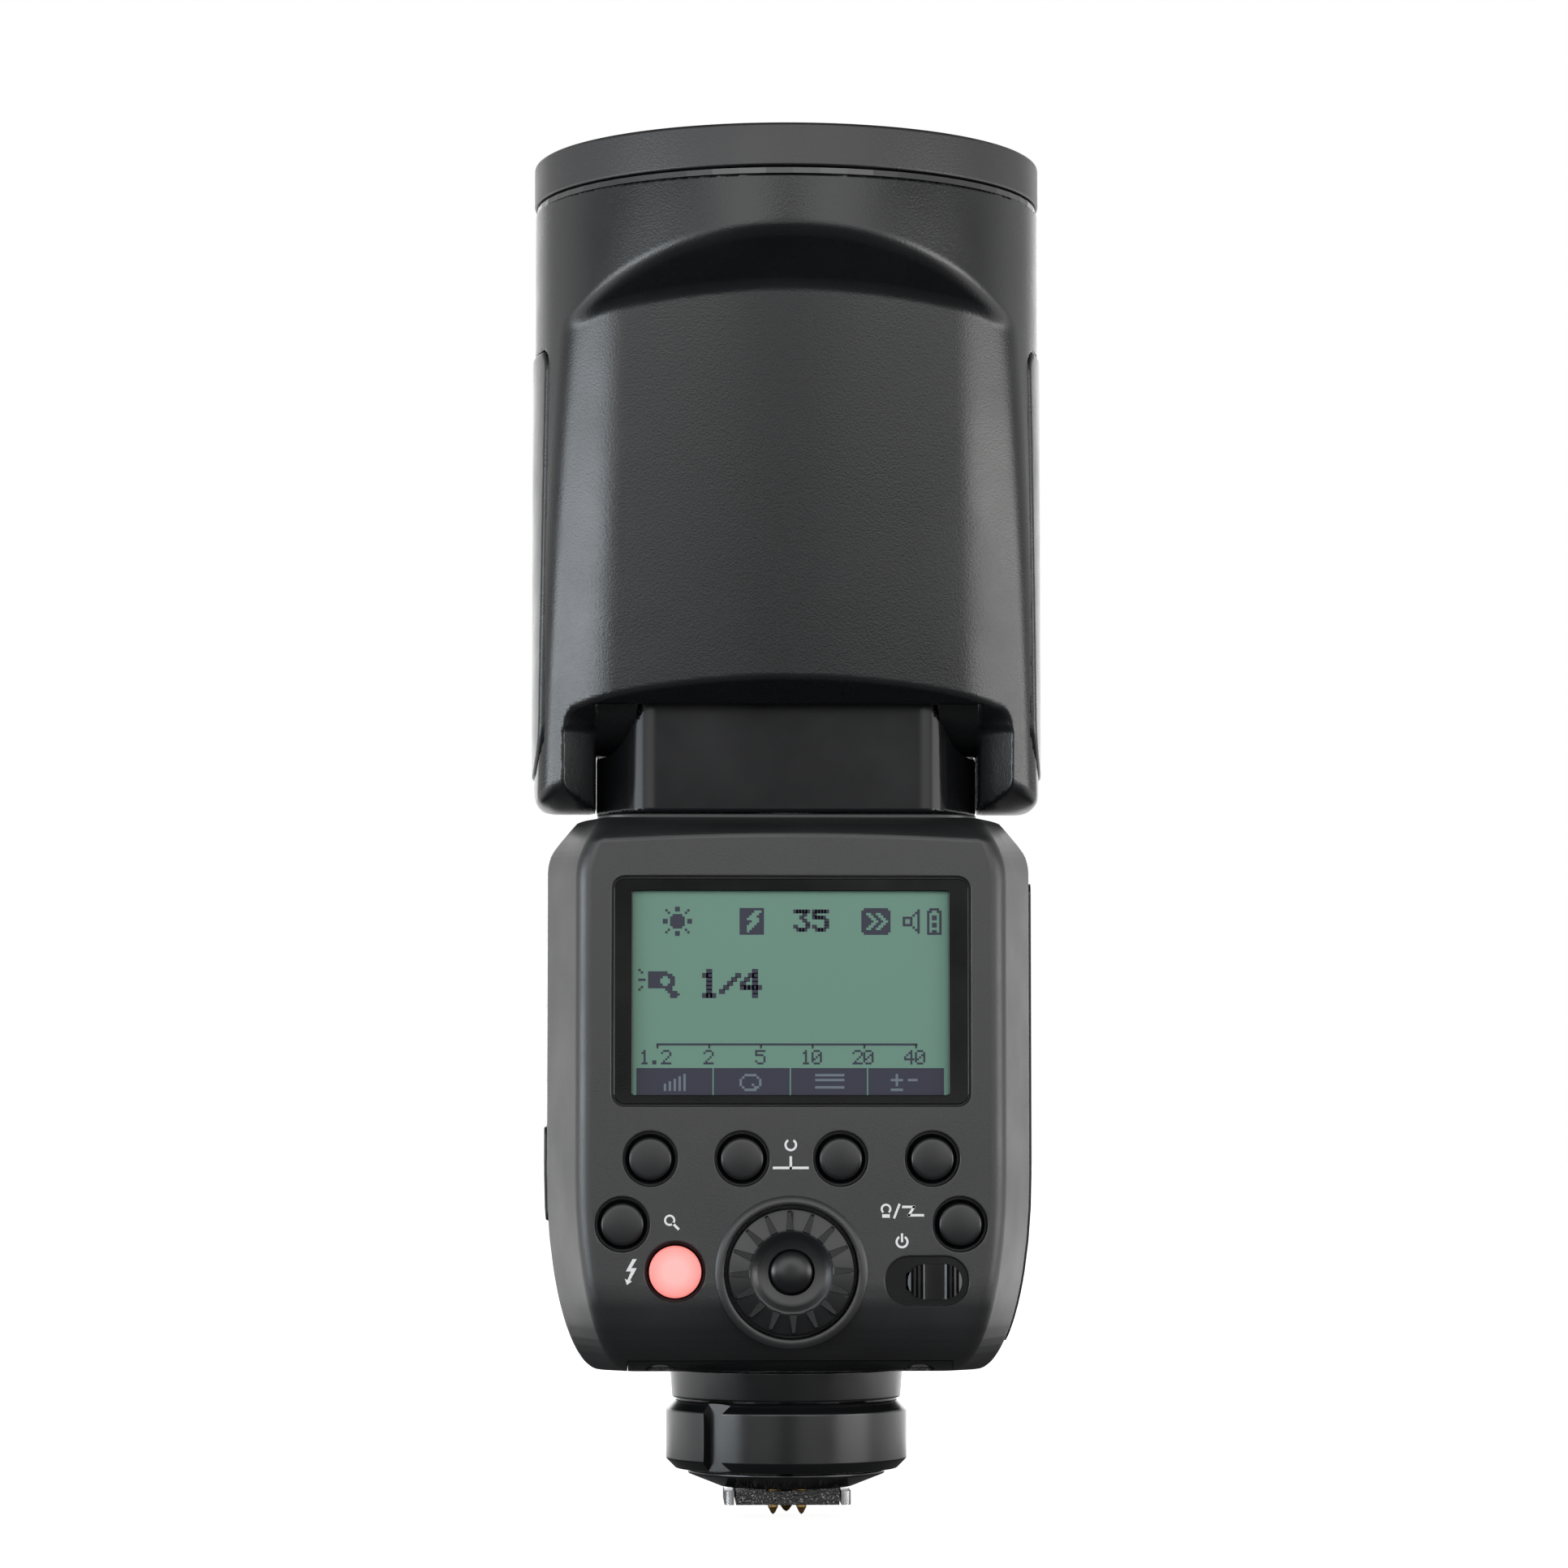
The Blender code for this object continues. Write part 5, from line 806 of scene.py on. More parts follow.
def bezel():
    add_piece("bezel_ring", turned(rounded(BEZEL_SECTION, BEZEL_ROUNDS), 160), BEZEL, "head")


# Body outside, as level rings
BODY_HALF, PANEL_HALF = 36.25, 30.6
BODY_NOSE = 27.0
SHOULDER_STEP, FRONT_CHAMFER = 0.8, 7.0
BODY_WALL = 1.8
BODY_ROUNDS, FLAT_STEPS = [0, 2.6, 4.0, 3.5, 3.5, 0], 6
# Quarter-ellipse edges at the bottom: height, depth and steps
SIDE_CURVE, BACK_CURVE, FRONT_CURVE = (28.5, 7.9, 9), (12.7, 10.5, 12), (7.0, 6.0, 5)
# Edges at the top: drop below it and how far the wall draws in
TOP_SIDE = (
    (0.0, 6.2), (0.1, 5.6), (0.25, 5.0), (0.53, 4.3), (1.24, 3.66), (1.96, 3.05), (2.7, 2.44),
    (3.4, 1.85), (4.1, 1.3), (4.8, 0.8), (5.5, 0.43), (6.3, 0.2), (7.0, 0.06), (7.8, 0.0),
)
TOP_BACK = (
    (0.0, 8.0), (0.12, 6.4), (0.3, 5.2), (0.6, 4.0), (1.1, 2.5),
    (1.6, 1.45), (2.0, 0.8), (2.4, 0.36), (2.8, 0.1), (3.2, 0.0),
)
CORNER_START, CORNER_REACH, CORNER_DEPTH, CORNER_LEVELS = 91.0, 10.6, 7.0, 9
MIDDLE_LEVELS, LEVEL_LEAST = {60.0, 75.0}, 0.06
# Arch of the panel's upper edge: drop, half width, and where it fades upward and forward
PANEL_ARCH, ARCH_HALF = 0.8, 26.0
ARCH_LEVELS, ARCH_FORWARD = (91.0, 96.0, 98.5, BODY_HIGH), (PANEL_Y, -20.0)


def curve_inset(z, curve):
    """How far a quarter-ellipse edge at the bottom draws a wall in."""
    height, depth, _ = curve
    share = min(1.0, max(0.0, 1.0 - (z - BODY_LOW) / height))
    return depth * (1.0 - math.sqrt(1.0 - share * share))


def table_inset(drop, table):
    return float(np.interp(drop, *zip(*table)))


def body_ring(z, grow=0.0):
    drop = BODY_HIGH - z
    side = curve_inset(z, SIDE_CURVE)
    top_side, top_back = table_inset(drop, TOP_SIDE), table_inset(drop, TOP_BACK)
    half = BODY_HALF - side - top_side + grow
    share = max(0.0, (z - CORNER_START) / CORNER_REACH)
    panel = PANEL_HALF - side - CORNER_DEPTH * (1 - math.sqrt(1 - share * share)) + grow
    rear = PANEL_Y + curve_inset(z, BACK_CURVE) + top_back - grow
    nose = BODY_NOSE - curve_inset(z, FRONT_CURVE) - top_back + grow
    corners = [(0, rear), (panel, rear), (half - SHOULDER_STEP, SPLIT_Y)]
    corners += [(half, nose - FRONT_CHAMFER), (half - FRONT_CHAMFER, nose), (0, nose)]
    line = rounded(corners, BODY_ROUNDS, 8, closed=False)
    start = line[1][0]
    flat = [(start * k / FLAT_STEPS, rear) for k in range(FLAT_STEPS)]
    right = flat + line[1:-1]
    ring = right + [(0, nose)] + [(-x, y) for x, y in reversed(right[1:])]
    return [(x, y, z) for x, y in ring]


def body_levels():
    levels = {BODY_LOW, BODY_HIGH} | MIDDLE_LEVELS
    for height, _, steps in (SIDE_CURVE, BACK_CURVE, FRONT_CURVE):
        levels |= {BODY_LOW + height * (1 - math.sin(k * math.pi / 2 / steps)) for k in range(steps)}
    levels |= {BODY_HIGH - drop for drop, _ in TOP_SIDE + TOP_BACK}
    levels |= {CORNER_START + k for k in range(CORNER_LEVELS)}
    kept = []
    for z in sorted(levels):
        if not kept or z - kept[-1] > LEVEL_LEAST:
            kept.append(z)
    return kept


def arched(point):
    """Panel's upper edge, a little lower toward its corners."""
    x, y, z = point
    lift = np.interp(z, ARCH_LEVELS, (0, 1, 1, 0)) * np.interp(y, ARCH_FORWARD, (1, 0))
    return x, y, z - PANEL_ARCH * float(lift) * min(1.0, (x / ARCH_HALF) ** 2)


def body_solid(grow=0.0):
    points, faces = loft([body_ring(z, grow) for z in body_levels()])
    return [arched(point) for point in points], faces


def body_cavity():
    low, high = BODY_LOW + BODY_WALL, BODY_HIGH - BODY_WALL
    levels = [low] + [z for z in body_levels() if low + 0.5 < z < high - 0.5][::2] + [high]
    return loft([body_ring(z, -BODY_WALL) for z in levels])


# Places on the control panel, as (x, z)
SOFT_KEYS = [(x, 50.9) for x in (-20.3, -7.1, 7.1, 20.3)]
FUNCTION_KEY, LAMP_KEY, TEST_KEY = (-24.3, 41.5), (24.3, 41.5), (-16.7, 34.7)
KEY_RADIUS, KEY_HOLE, KEY_LIP, KEY_DEPTH = 3.1, 3.9, 0.28, 3.0
TEST_RADIUS, TEST_HOLE = 3.75, 4.3
DIAL = (0.0, 34.65)
DIAL_WELL, DIAL_PAD, DIAL_SEAT, DIAL_SHAFT = 9.6, 10.9, 10.7, 4.6
WINDOW, WINDOW_SIZE, WINDOW_CORNER, WINDOW_DEPTHS = (0.0, 75.0), (51.2, 32.5), 1.6, (0.05, 1.0)
POWER, POWER_KNOB = (19.5, 33.3), (20.6, 33.3)
# Openings: size, corner radius, lip and depth
WINDOW_HOLE, POWER_HOLE = ((51.8, 33.1), 1.9, 0.2, 1.3), ((11.9, 7.1), 3.54, 0.3, 1.0)
# Deeper wells inside them: width, height and corner radius, and their depths
WINDOW_WELL, POWER_SLOT, WELL_DEPTHS = (47.2, 28.5, 1.0), (6.0, 2.6, 0.4), (0.6, 3)
BASE_HALF, BASE_BACK, BASE_FRONT, BASE_LOW, BASE_TOP, BASE_GAP = 23.5, -40, 15.0, 10, 21.7, 0.1
# Raised ring round the dial's well: radius and height over the panel
COLLAR = [
    (11.0, -0.5), (11.0, -0.05), (10.95, 0.06), (10.75, 0.18), (10.45, 0.30), (10.15, 0.36), (9.9, 0.35),
    (9.72, 0.27), (9.63, 0.12), (DIAL_WELL, -0.2), (DIAL_WELL, -6.0), (10.8, -6.0), (10.8, -0.5),
]
# Reach of the blocks that split the body, and height above it
FAR, ABOVE = 60, 130


def base_space(gap):
    half = BASE_HALF + gap
    return block((-half, BASE_BACK, BASE_LOW), (half, BASE_FRONT + gap, BASE_TOP + gap))


def hollow_body(low, high):
    """Body walls without the block from low to high and without the base plate's place."""
    return cut(body_solid(), body_cavity(), block(low, high), base_space(BASE_GAP))


def rear_cover():
    mesh = hollow_body((-FAR, SPLIT_Y - FIT / 2, 0), (FAR, FAR, ABOVE))
    mesh = combined(mesh, on_panel(cylinder(DIAL_PAD, 0.0, -6.0, 96), *DIAL), "UNION")
    places = (*SOFT_KEYS, FUNCTION_KEY, LAMP_KEY)
    mesh = cut(mesh, *[round_hole(*place, KEY_HOLE, KEY_LIP, KEY_DEPTH) for place in places])
    mesh = cut(mesh, round_hole(*TEST_KEY, TEST_HOLE, KEY_LIP, KEY_DEPTH))
    mesh = cut(mesh, box_hole(WINDOW, *WINDOW_HOLE), box_hole(POWER, *POWER_HOLE))
    wells = [on_panel(cylinder(DIAL_SEAT, 2.0, -4.6, 96), *DIAL)]
    wells += [into_panel(round_box(WINDOW, *WINDOW_WELL), *WELL_DEPTHS)]
    wells += [into_panel(round_box(POWER, *POWER_SLOT), *WELL_DEPTHS)]
    mesh = cut(mesh, several(wells), on_panel(cylinder(DIAL_SHAFT, 1.0, -9.0, 48), *DIAL))
    mesh = combined(mesh, on_panel(turned(COLLAR), *DIAL), "UNION")
    add_piece("rear_cover", mesh, PANEL, "body")


# Side doors as (y, z) of the middle, size and corner radius, front window and body shell
PORT = ((-3.0, 48.6), (14.0, 13.8), 1.5)
PACK = ((5.2, 57.75), (29.0, 67.5), 1.8)
LATCH = ((5.2, 78.5), (12.0, 10.0), 1.5)
SENSOR, SENSOR_CORNER, SENSOR_DEPTH, SENSOR_OUT = ((0.0, 64.0), (34.0, 22.0)), 3.0, 1.3, 4
# Reach of the cutters past the sides, and where each opening and door ends inside
OUTSIDE = 45
PORT_SEAT, PACK_SEAT, LATCH_SEAT = -32.5, 8.6, 31.95
PORT_BACK, PACK_BACK, LATCH_BACK = -34.45, 8.9, 33.25
COLUMN_BORE, COLUMN_ENDS = 12.1, (93, 106)
DRILL_RADIUS, DRILL_ENDS, SCREW_RADIUS, SCREW_PLACE = 3.0, (10, 30), 2.3, (18.8, -20.2)


def body_shell():
    mesh = hollow_body((-FAR, -FAR, 0), (FAR, SPLIT_Y + FIT / 2, ABOVE))
    mesh = cut(mesh, prism(grown_box(*PORT, FIT), "X", -OUTSIDE, PORT_SEAT))
    mesh = cut(mesh, prism(grown_box(*PACK, FIT), "X", PACK_SEAT, OUTSIDE))
    seat = grown_box(*SENSOR, SENSOR_CORNER - FIT, FIT)
    mesh = cut(mesh, prism(seat, "Y", BODY_NOSE - SENSOR_DEPTH, BODY_NOSE + SENSOR_OUT))
    mesh = cut(mesh, cylinder(COLUMN_BORE, *COLUMN_ENDS, 64))
    add_piece("body_shell", mesh, SHELL, "body")


def door(name, place, proud, span, material, slot, *cuts):
    """Piece of the body's outside, a little proud of it, between two places along X."""
    mesh = combined(body_solid(proud), prism(grown_box(*place, 0), "X", *span), "INTERSECT")
    add_piece(name, cut(mesh, *cuts), material, name, bevel=0.25)


def side_doors():
    door("port_cover", PORT, 0.4, (-OUTSIDE, PORT_BACK), RUBBER, "rubber")
    recess = prism(grown_box(*LATCH, FIT), "X", LATCH_SEAT, OUTSIDE)
    door("battery_pack", PACK, 0.5, (PACK_BACK, OUTSIDE), SHELL, "shell", recess)
    door("battery_latch", LATCH, 0.5, (LATCH_BACK, OUTSIDE), GLOSS, "gloss")


def base_plate():
    mesh = combined(body_solid(), base_space(0.0), "INTERSECT")
    drills = [cylinder(DRILL_RADIUS, *DRILL_ENDS, 32)]
    x, y = SCREW_PLACE
    drills += [shifted(cylinder(SCREW_RADIUS, *DRILL_ENDS, 32), side * x, y) for side in (-1, 1)]
    add_piece("base_plate", cut(mesh, several(drills)), SHELL, "body")


# Keys and dial: shares of the radius along each dome, and heights over the panel
KEY_RISE, KEY_DOME, KEY_FLANGE, KEY_STEM = 0.42, 0.22, 0.2, 1.5
KEY_CROWN = (0, 0.25, 0.45, 0.62, 0.76, 0.86)
KEY_EDGE = ((0.90, 0.02), (0.94, -0.03), (0.97, -0.12), (0.99, -0.24))
SET_RADIUS, SET_RISE, SET_DOME = 3.05, 0.35, 0.75
SET_CROWN = (0, 0.25, 0.45, 0.6, 0.72, 0.82, 0.9, 0.96)
SET_BACK = [(1.5, -0.7), (1.5, -7.2), (4.3, -7.2), (4.3, -7.8), (0, -7.8)]
DIAL_FACE = [
    (3.35, 0.20), (4.4, 0.32), (5.1, 0.55), (5.6, 0.90), (5.9, 0.98), (6.2, 0.96), (8.5, 0.50), (8.95, 0.36),
    (9.1, 0.15), (9.1, -4.3), (4.3, -4.3), (4.3, -6.3), (4.9, -6.3), (4.9, -6.9), (3.35, -6.9),
]
RIB_COUNT, RIB_TURN, RIB_FOOT, RIB_DRAFT = 16, math.radians(2.0), 0.1, 0.12
# Sections of a rib: distance from the dial's middle, half width and height
RIB_STATIONS = ((5.95, 0.66, 1.12), (6.1, 0.66, 1.26), (8.6, 0.32, 1.22), (8.85, 0.28, 0.92))
# Depth behind the panel's face past which the red key takes its darker copy, as painted shade in its hole
RED_SHADE_DEPTH = 0.05


def key_solid(radius, hole):
    """Domed cap, skirt behind the panel and stem."""
    dome = [(radius * s, KEY_RISE + KEY_DOME * (1 - s * s)) for s in KEY_CROWN]
    dome += [(radius * s, KEY_RISE + h) for s, h in KEY_EDGE]
    skirt, flange = hole - FIT, hole + KEY_FLANGE
    dome += [(radius, -0.1), (radius, -2.0), (skirt, -1.2), (skirt, -2.1), (flange, -2.1)]
    dome += [(flange, -2.7), (KEY_STEM, -2.7), (KEY_STEM, -8.0), (0, -8.0)]
    return turned(dome, 64)


def keys():
    places = [(f"soft_key_{n}", place) for n, place in enumerate(SOFT_KEYS, 1)]
    places += [("function_key", FUNCTION_KEY), ("lamp_key", LAMP_KEY)]
    for name, place in places:
        add_piece(name, on_panel(key_solid(KEY_RADIUS, KEY_HOLE), *place), KEYS, name)
    mesh = as_mesh(on_panel(key_solid(TEST_RADIUS, TEST_HOLE), *TEST_KEY))
    add_piece("test_key", mesh, RED, "test_key")
    # Faces sunk behind the panel take a darker, unlit copy of the red: painted shade in the key's hole
    mesh.materials.append(RED_SUNK_SHADE)
    for face in mesh.polygons:
        face.material_index = int(face.center.y > (PANEL_Y + RED_SHADE_DEPTH) * MM)


def dial_rib(angle):
    """Wedge on the dial's rim, wide and high toward the middle."""
    rings = []
    for radius, half, top in RIB_STATIONS:
        ends = ((-half, RIB_FOOT), (half, RIB_FOOT), (half - RIB_DRAFT, top), (RIB_DRAFT - half, top))
        rings.append([(radius, across, height) for across, height in ends])
    return moved(loft(rings), Matrix.Rotation(angle, 4, "Z"))


def dial():
    ribs = [dial_rib(math.pi / 2 + RIB_TURN + 2 * math.pi * k / RIB_COUNT) for k in range(RIB_COUNT)]
    mesh = combined(on_panel(turned(DIAL_FACE, 128), *DIAL), on_panel(several(ribs), *DIAL), "UNION")
    add_piece("control_dial", mesh, KEYS, "control_dial", bevel=0.10)
    dome = [(SET_RADIUS * s, SET_RISE + SET_DOME * (1 - s ** 3)) for s in SET_CROWN]
    dome += [(SET_RADIUS, 0.2), (SET_RADIUS, -0.7)] + SET_BACK
    add_piece("set_key", on_panel(turned(dome, 64), *DIAL), KEYS, "set_key")


# Power slider: heights along its left half, outline and depths
KNOB_HEIGHTS = [
    (-4.2, 0.1), (-3.8, 0.35), (-3.45, 0.55), (-3.25, 0.38), (-3.05, 0.66), (-2.75, 0.78), (-2.6, 0.55),
    (-2.4, 0.82), (-2.1, 0.80), (-1.9, 0.5), (-1.7, 0.70), (-1.4, 0.52), (-1.2, 0.24), (0.0, 0.18),
]
KNOB_HALF, KNOB_DEPTH, KNOB_BOX, FLOOR_BOX = 4.2, 0.7, (7.8, 5.0, 2.49, 10), (11.8, 7.0, 3.49, 10)
KNOB_REACH, STEM_HALF, STEM_DEPTHS, POWER_FLOOR = 3, 1, (0.5, 3.1), (0.85, 0.98)


def power_slider():
    """Saddle-shaped knob with two pairs of grip ribs."""
    heights = KNOB_HEIGHTS + [(-x, h) for x, h in reversed(KNOB_HEIGHTS[:-1])]
    heights += [(KNOB_HALF, -KNOB_DEPTH), (-KNOB_HALF, -KNOB_DEPTH)]
    x0, z0 = POWER_KNOB
    profile = [(x0 + x, PANEL_Y - h) for x, h in heights]
    mesh = prism(profile, "Z", z0 - KNOB_REACH, z0 + KNOB_REACH)
    plan = into_panel(round_box(POWER_KNOB, *KNOB_BOX), -KNOB_REACH, KNOB_REACH)
    mesh = combined(mesh, plan, "INTERSECT")
    near, deep = (PANEL_Y + depth for depth in STEM_DEPTHS)
    stem = block((x0 - STEM_HALF, near, z0 - STEM_HALF), (x0 + STEM_HALF, deep, z0 + STEM_HALF))
    mesh = combined(mesh, stem, "UNION")
    floor = into_panel(round_box(POWER, *FLOOR_BOX), *POWER_FLOOR)
    floor = cut(floor, into_panel(round_box(POWER, *POWER_SLOT), -1, 3))
    add_piece("power_floor", floor, GLOSS, "body", nodes=())
    add_piece("power_slider", mesh, GLOSS, "power_slider", bevel=0.12)


# Display, drawn in dots that are counted from its upper left corner
LCD_MIDDLE, LCD_SIZE, LCD_CORNER, LCD_EDGE = (-0.1, 74.75), (45.6, 29.4), 0.25, 0.3
LCD_FACE, LCD_THICK, LCD_HALF = PANEL_Y + 1.05, 0.2, (23.6, 15.2)
# How far in front of the face the dark marks and the pale marks on them begin and end
DARK_MARKS, PALE_MARKS = (0.02, 0.005), (0.035, 0.022)
DOT = 0.352
DIGITS = {
    "0": ".###. #...# #..## #.#.# ##..# #...# .###.", "1": "..#.. .##.. ..#.. ..#.. ..#.. ..#.. .###.",
    "2": ".###. #...# ....# ...#. ..#.. .#... #####", "3": "##### ...#. ..#.. ...#. ....# #...# .###.",
    "4": "...#. ..##. .#.#. #..#. ##### ...#. ...#.", "5": "##### #.... ####. ....# ....# #...# .###.",
    "/": "..... ....# ...#. ..#.. .#... #.... .....", ".": "..... ..... ..... ..... ..... .##.. .##..",
}
ICONS = {
    "sun": ".....##..... .#...##...#. ..#......#.. ....####.... ...######... ##.######.## "
           "##.######.## ...######... ....####.... ..#......#.. .#...##...#. .....##.....",
    "bolt": "########## ######...# #####...## ####...### ###.....## #####...## "
            "####...### ###...#### ###..##### ###.###### ##########",
    "arrows": ".##########. ############ ##..##..#### ###..##..### ####..##..## #####..##..# "
              "####..##..## ###..##..### ##..##..#### ############ .##########.",
    "speaker": "......# .....## ....#.# ####..# #..#..# #..#..# ####..# ....#.# .....## ......#",
    "battery": ".####. ##..## #....# #.##.# #.##.# #....# #.##.# #.##.# #....# #.##.# ######",
    "lamp": "#................ .#..########..... ....##########... ....######..###.. ###.#####....##.. "
            "....#####....##.. ....######..###.. .#..##########... #..........###... ............####. "
            ".............#### .............###.",
    "steps": ".........# .......#.# .....#.#.# ...#.#.#.# .#.#.#.#.# .#.#.#.#.# .#.#.#.#.#",
    "loop": "..#####.. .#.....#. #.......# #.......# #....#..# .#....##. ..#####..",
    "bars": "############ ............ ############ ............ ............ ############ ............",
    "sign": "..#........ ..#........ #####..#### ..#........ ..#........ ........... #####......",
}
# Icons with their column and row
LCD_ICONS = (
    ("sun", 11.5, 5.5), ("bolt", 43, 6), ("arrows", 93, 6),
    ("speaker", 110, 6.5), ("battery", 120, 6), ("lamp", 1.5, 31),
)
BAR_ICONS = (("steps", 11, 74), ("loop", 43, 74), ("bars", 74, 74), ("sign", 105, 74))
# Figures with their column, row, size, pitch, and width and height of a dot
LCD_FIGURES = (("35", 65, 6.6, 1.25, 6.2, 1.6, 1.3), ("1/4", 26, 31, 1.65, 5.2, 1.5, 1.25))
SCALE_NUMBERS, SCALE_LEFT, SCALE_PITCH = ("1.2", "2", "5", "10", "20", "40"), 9, 21.2
SCALE_SIZE, SCALE_DIGIT, HALF_TICK, HALF_DIGIT = 0.85, 5.2, 0.5, 2.5
SCALE_LINE, SCALE_TICK, SCALE_TICK_ROW, SCALE_ROW = (61.5, 107, 0.9), (0.8, 1.6), 62, 64.2
FIELD_LEFT, FIELD_PITCH, FIELD = 0.8, 31.65, (71.6, 31.1, 11.2)


def picture_dots(rows, x, y, size=1.0, wide=1.0, tall=1.0):
    """Dots of a picture from its upper left corner, as (column, row, width, height)."""
    dots = []
    for row, line in enumerate(rows.split()):
        for column, cell in enumerate(line):
            if cell == "#":
                dots.append((x + column * size, y + row * size, size * wide, size * tall))
    return dots


def digit_dots(text, x, y, size, pitch, wide=1.0, tall=1.0):
    dots = []
    for number, letter in enumerate(text):
        dots += picture_dots(DIGITS[letter], x + number * pitch * size, y, size, wide, tall)
    return dots


def icon_dots(icons):
    return [dot for name, x, y in icons for dot in picture_dots(ICONS[name], x, y)]


def lcd_dots():
    dots = icon_dots(LCD_ICONS)
    for figure in LCD_FIGURES:
        dots += digit_dots(*figure)
    dots.append((SCALE_LEFT, *SCALE_LINE))
    for k, number in enumerate(SCALE_NUMBERS):
        x = SCALE_LEFT + k * SCALE_PITCH
        dots.append((x, SCALE_TICK_ROW, *SCALE_TICK))
        left = x + HALF_TICK - HALF_DIGIT * len(number)
        dots += digit_dots(number, left, SCALE_ROW, SCALE_SIZE, SCALE_DIGIT)
    row, width, height = FIELD
    return dots + [(FIELD_LEFT + FIELD_PITCH * k, row, width, height) for k in range(4)]


def dot_solid(dots, levels):
    """Flat raised patches on the display."""
    left, top = LCD_MIDDLE[0] - LCD_SIZE[0] / 2 + LCD_EDGE, LCD_MIDDLE[1] + LCD_SIZE[1] / 2 - LCD_EDGE
    front, back = (LCD_FACE - level for level in levels)
    solids = []
    for column, row, width, height in dots:
        x0, z1 = left + column * DOT, top - row * DOT
        x1, z0 = x0 + width * DOT, z1 - height * DOT
        solids.append(block((x0, front, z0), (x1, back, z1)))
    return several(solids)


def display():
    window = into_panel(round_box(WINDOW, *WINDOW_SIZE, WINDOW_CORNER, 8), *WINDOW_DEPTHS)
    window = cut(window, into_panel(round_box(LCD_MIDDLE, *LCD_SIZE, LCD_CORNER, 3), -1, 2))
    add_piece("display_window", window, GLOSS, "body", bevel=0.12)
    (x, z), (a, b) = LCD_MIDDLE, LCD_HALF
    panel = block((x - a, LCD_FACE, z - b), (x + a, LCD_FACE + LCD_THICK, z + b))
    add_piece("display_panel", panel, LCD, "body")
    marks = dot_solid(lcd_dots(), DARK_MARKS)
    add_piece("display_marks", marks, LCD_INK, "body", nodes=())
    marks = dot_solid(icon_dots(BAR_ICONS), PALE_MARKS)
    add_piece("display_bar_marks", marks, LCD_PALE, "body", nodes=())


# White print on the panel: strokes as start, end and width, arcs as x, z, radius, width and angles
STROKES = (
    ((-2.5, 49.6), (2.3, 49.6), 0.36), ((-0.1, 49.6), (-0.1, 51.1), 0.36),
    ((13.3, 42.7), (13.9, 42.7), 0.5), ((14.8, 42.5), (15.5, 44.3), 0.32),
    ((16.1, 44.0), (17.6, 44.0), 0.36), ((17.6, 44.0), (16.9, 42.8), 0.36),
    ((16.9, 42.8), (18.9, 42.8), 0.36), ((15.9, 39.1), (15.9, 40.05), 0.32),
    ((-17.0, 41.6), (-16.3, 40.9), 0.36),
)
ARCS = (
    (-0.1, 52.9, 0.75, 0.32, 120, 420), (13.6, 43.7, 0.62, 0.30, -50, 230),
    (15.9, 39.0, 0.78, 0.32, 120, 420), (-17.5, 42.1, 0.66, 0.30, 0.0, 360.0),
)
ARC_STEPS, ARC_OVERLAP = 28, 1.02
BOLT_PLACE, BOLT_SIZE = (-23.0, 34.7), 1.85
BOLT = (
    (0.1, 1.0), (-0.42, 0.05), (-0.02, 0.05), (-0.30, -0.62), (-0.5, -0.5), (-0.34, -1.0),
    (0.05, -0.72), (-0.1, -0.66), (0.42, 0.3), (0.0, 0.3), (0.42, 1.0),
)
PRINT_DEPTHS = (-0.025, 0.02)


def stroke(start, end, width):
    (x0, z0), (x1, z1) = start, end
    length = math.hypot(x1 - x0, z1 - z0)
    a, b = (x1 - x0) / length * width / 2, (z1 - z0) / length * width / 2
    near = [(x0 - a - b, z0 - b + a), (x0 - a + b, z0 - b - a)]
    return near + [(x1 + a + b, z1 + b - a), (x1 + a - b, z1 + b + a)]


def arc_pieces(x, z, radius, width, start, end):
    """Short flat pieces of an arc, which overlap a little."""
    pieces = []
    for k in range(ARC_STEPS):
        a, b = (math.radians(start + (end - start) * s / ARC_STEPS) for s in (k, k + ARC_OVERLAP))
        inner, outer = radius - width / 2, radius + width / 2
        corners = ((inner, a), (outer, a), (outer, b), (inner, b))
        pieces.append([(x + r * math.cos(t), z + r * math.sin(t)) for r, t in corners])
    return pieces


def panel_marks():
    x, z = BOLT_PLACE
    outlines = [[(x + a * BOLT_SIZE, z + b * BOLT_SIZE) for a, b in BOLT]]
    outlines += [stroke(*line) for line in STROKES]
    for arc in ARCS:
        outlines += arc_pieces(*arc)
    marks = several([into_panel(outline, *PRINT_DEPTHS) for outline in outlines])
    add_piece("panel_marks", marks, WHITE_INK, "body", nodes=(), weighted=False)


# Lock ring, neck and shoe base: corners of each section with the radius of each
RING_SECTION = [
    (16.5, 15.1), (17.9, 13.7), (17.9, 6.4), (16.5, 5.0), (12.5, 5.0),
    (12.5, 8.4), (13.7, 8.4), (13.7, 12.4), (12.5, 12.4), (12.5, 15.1),
]
RING_ROUNDS = [0.3, 0.5, 0.5, 0.3, 0.1, 0.1, 0.1, 0.1, 0.1, 0.1]
RING_LOW, RING_HIGH, RING_RADIUS = 5.0, 15.1, 17.9
NOTCH_TURN, NOTCH_STEPS, NOTCH_DEPTH, NOTCH_OUT, NOTCH_REACH = math.radians(-40), 24, 1.3, -19.5, 5.4
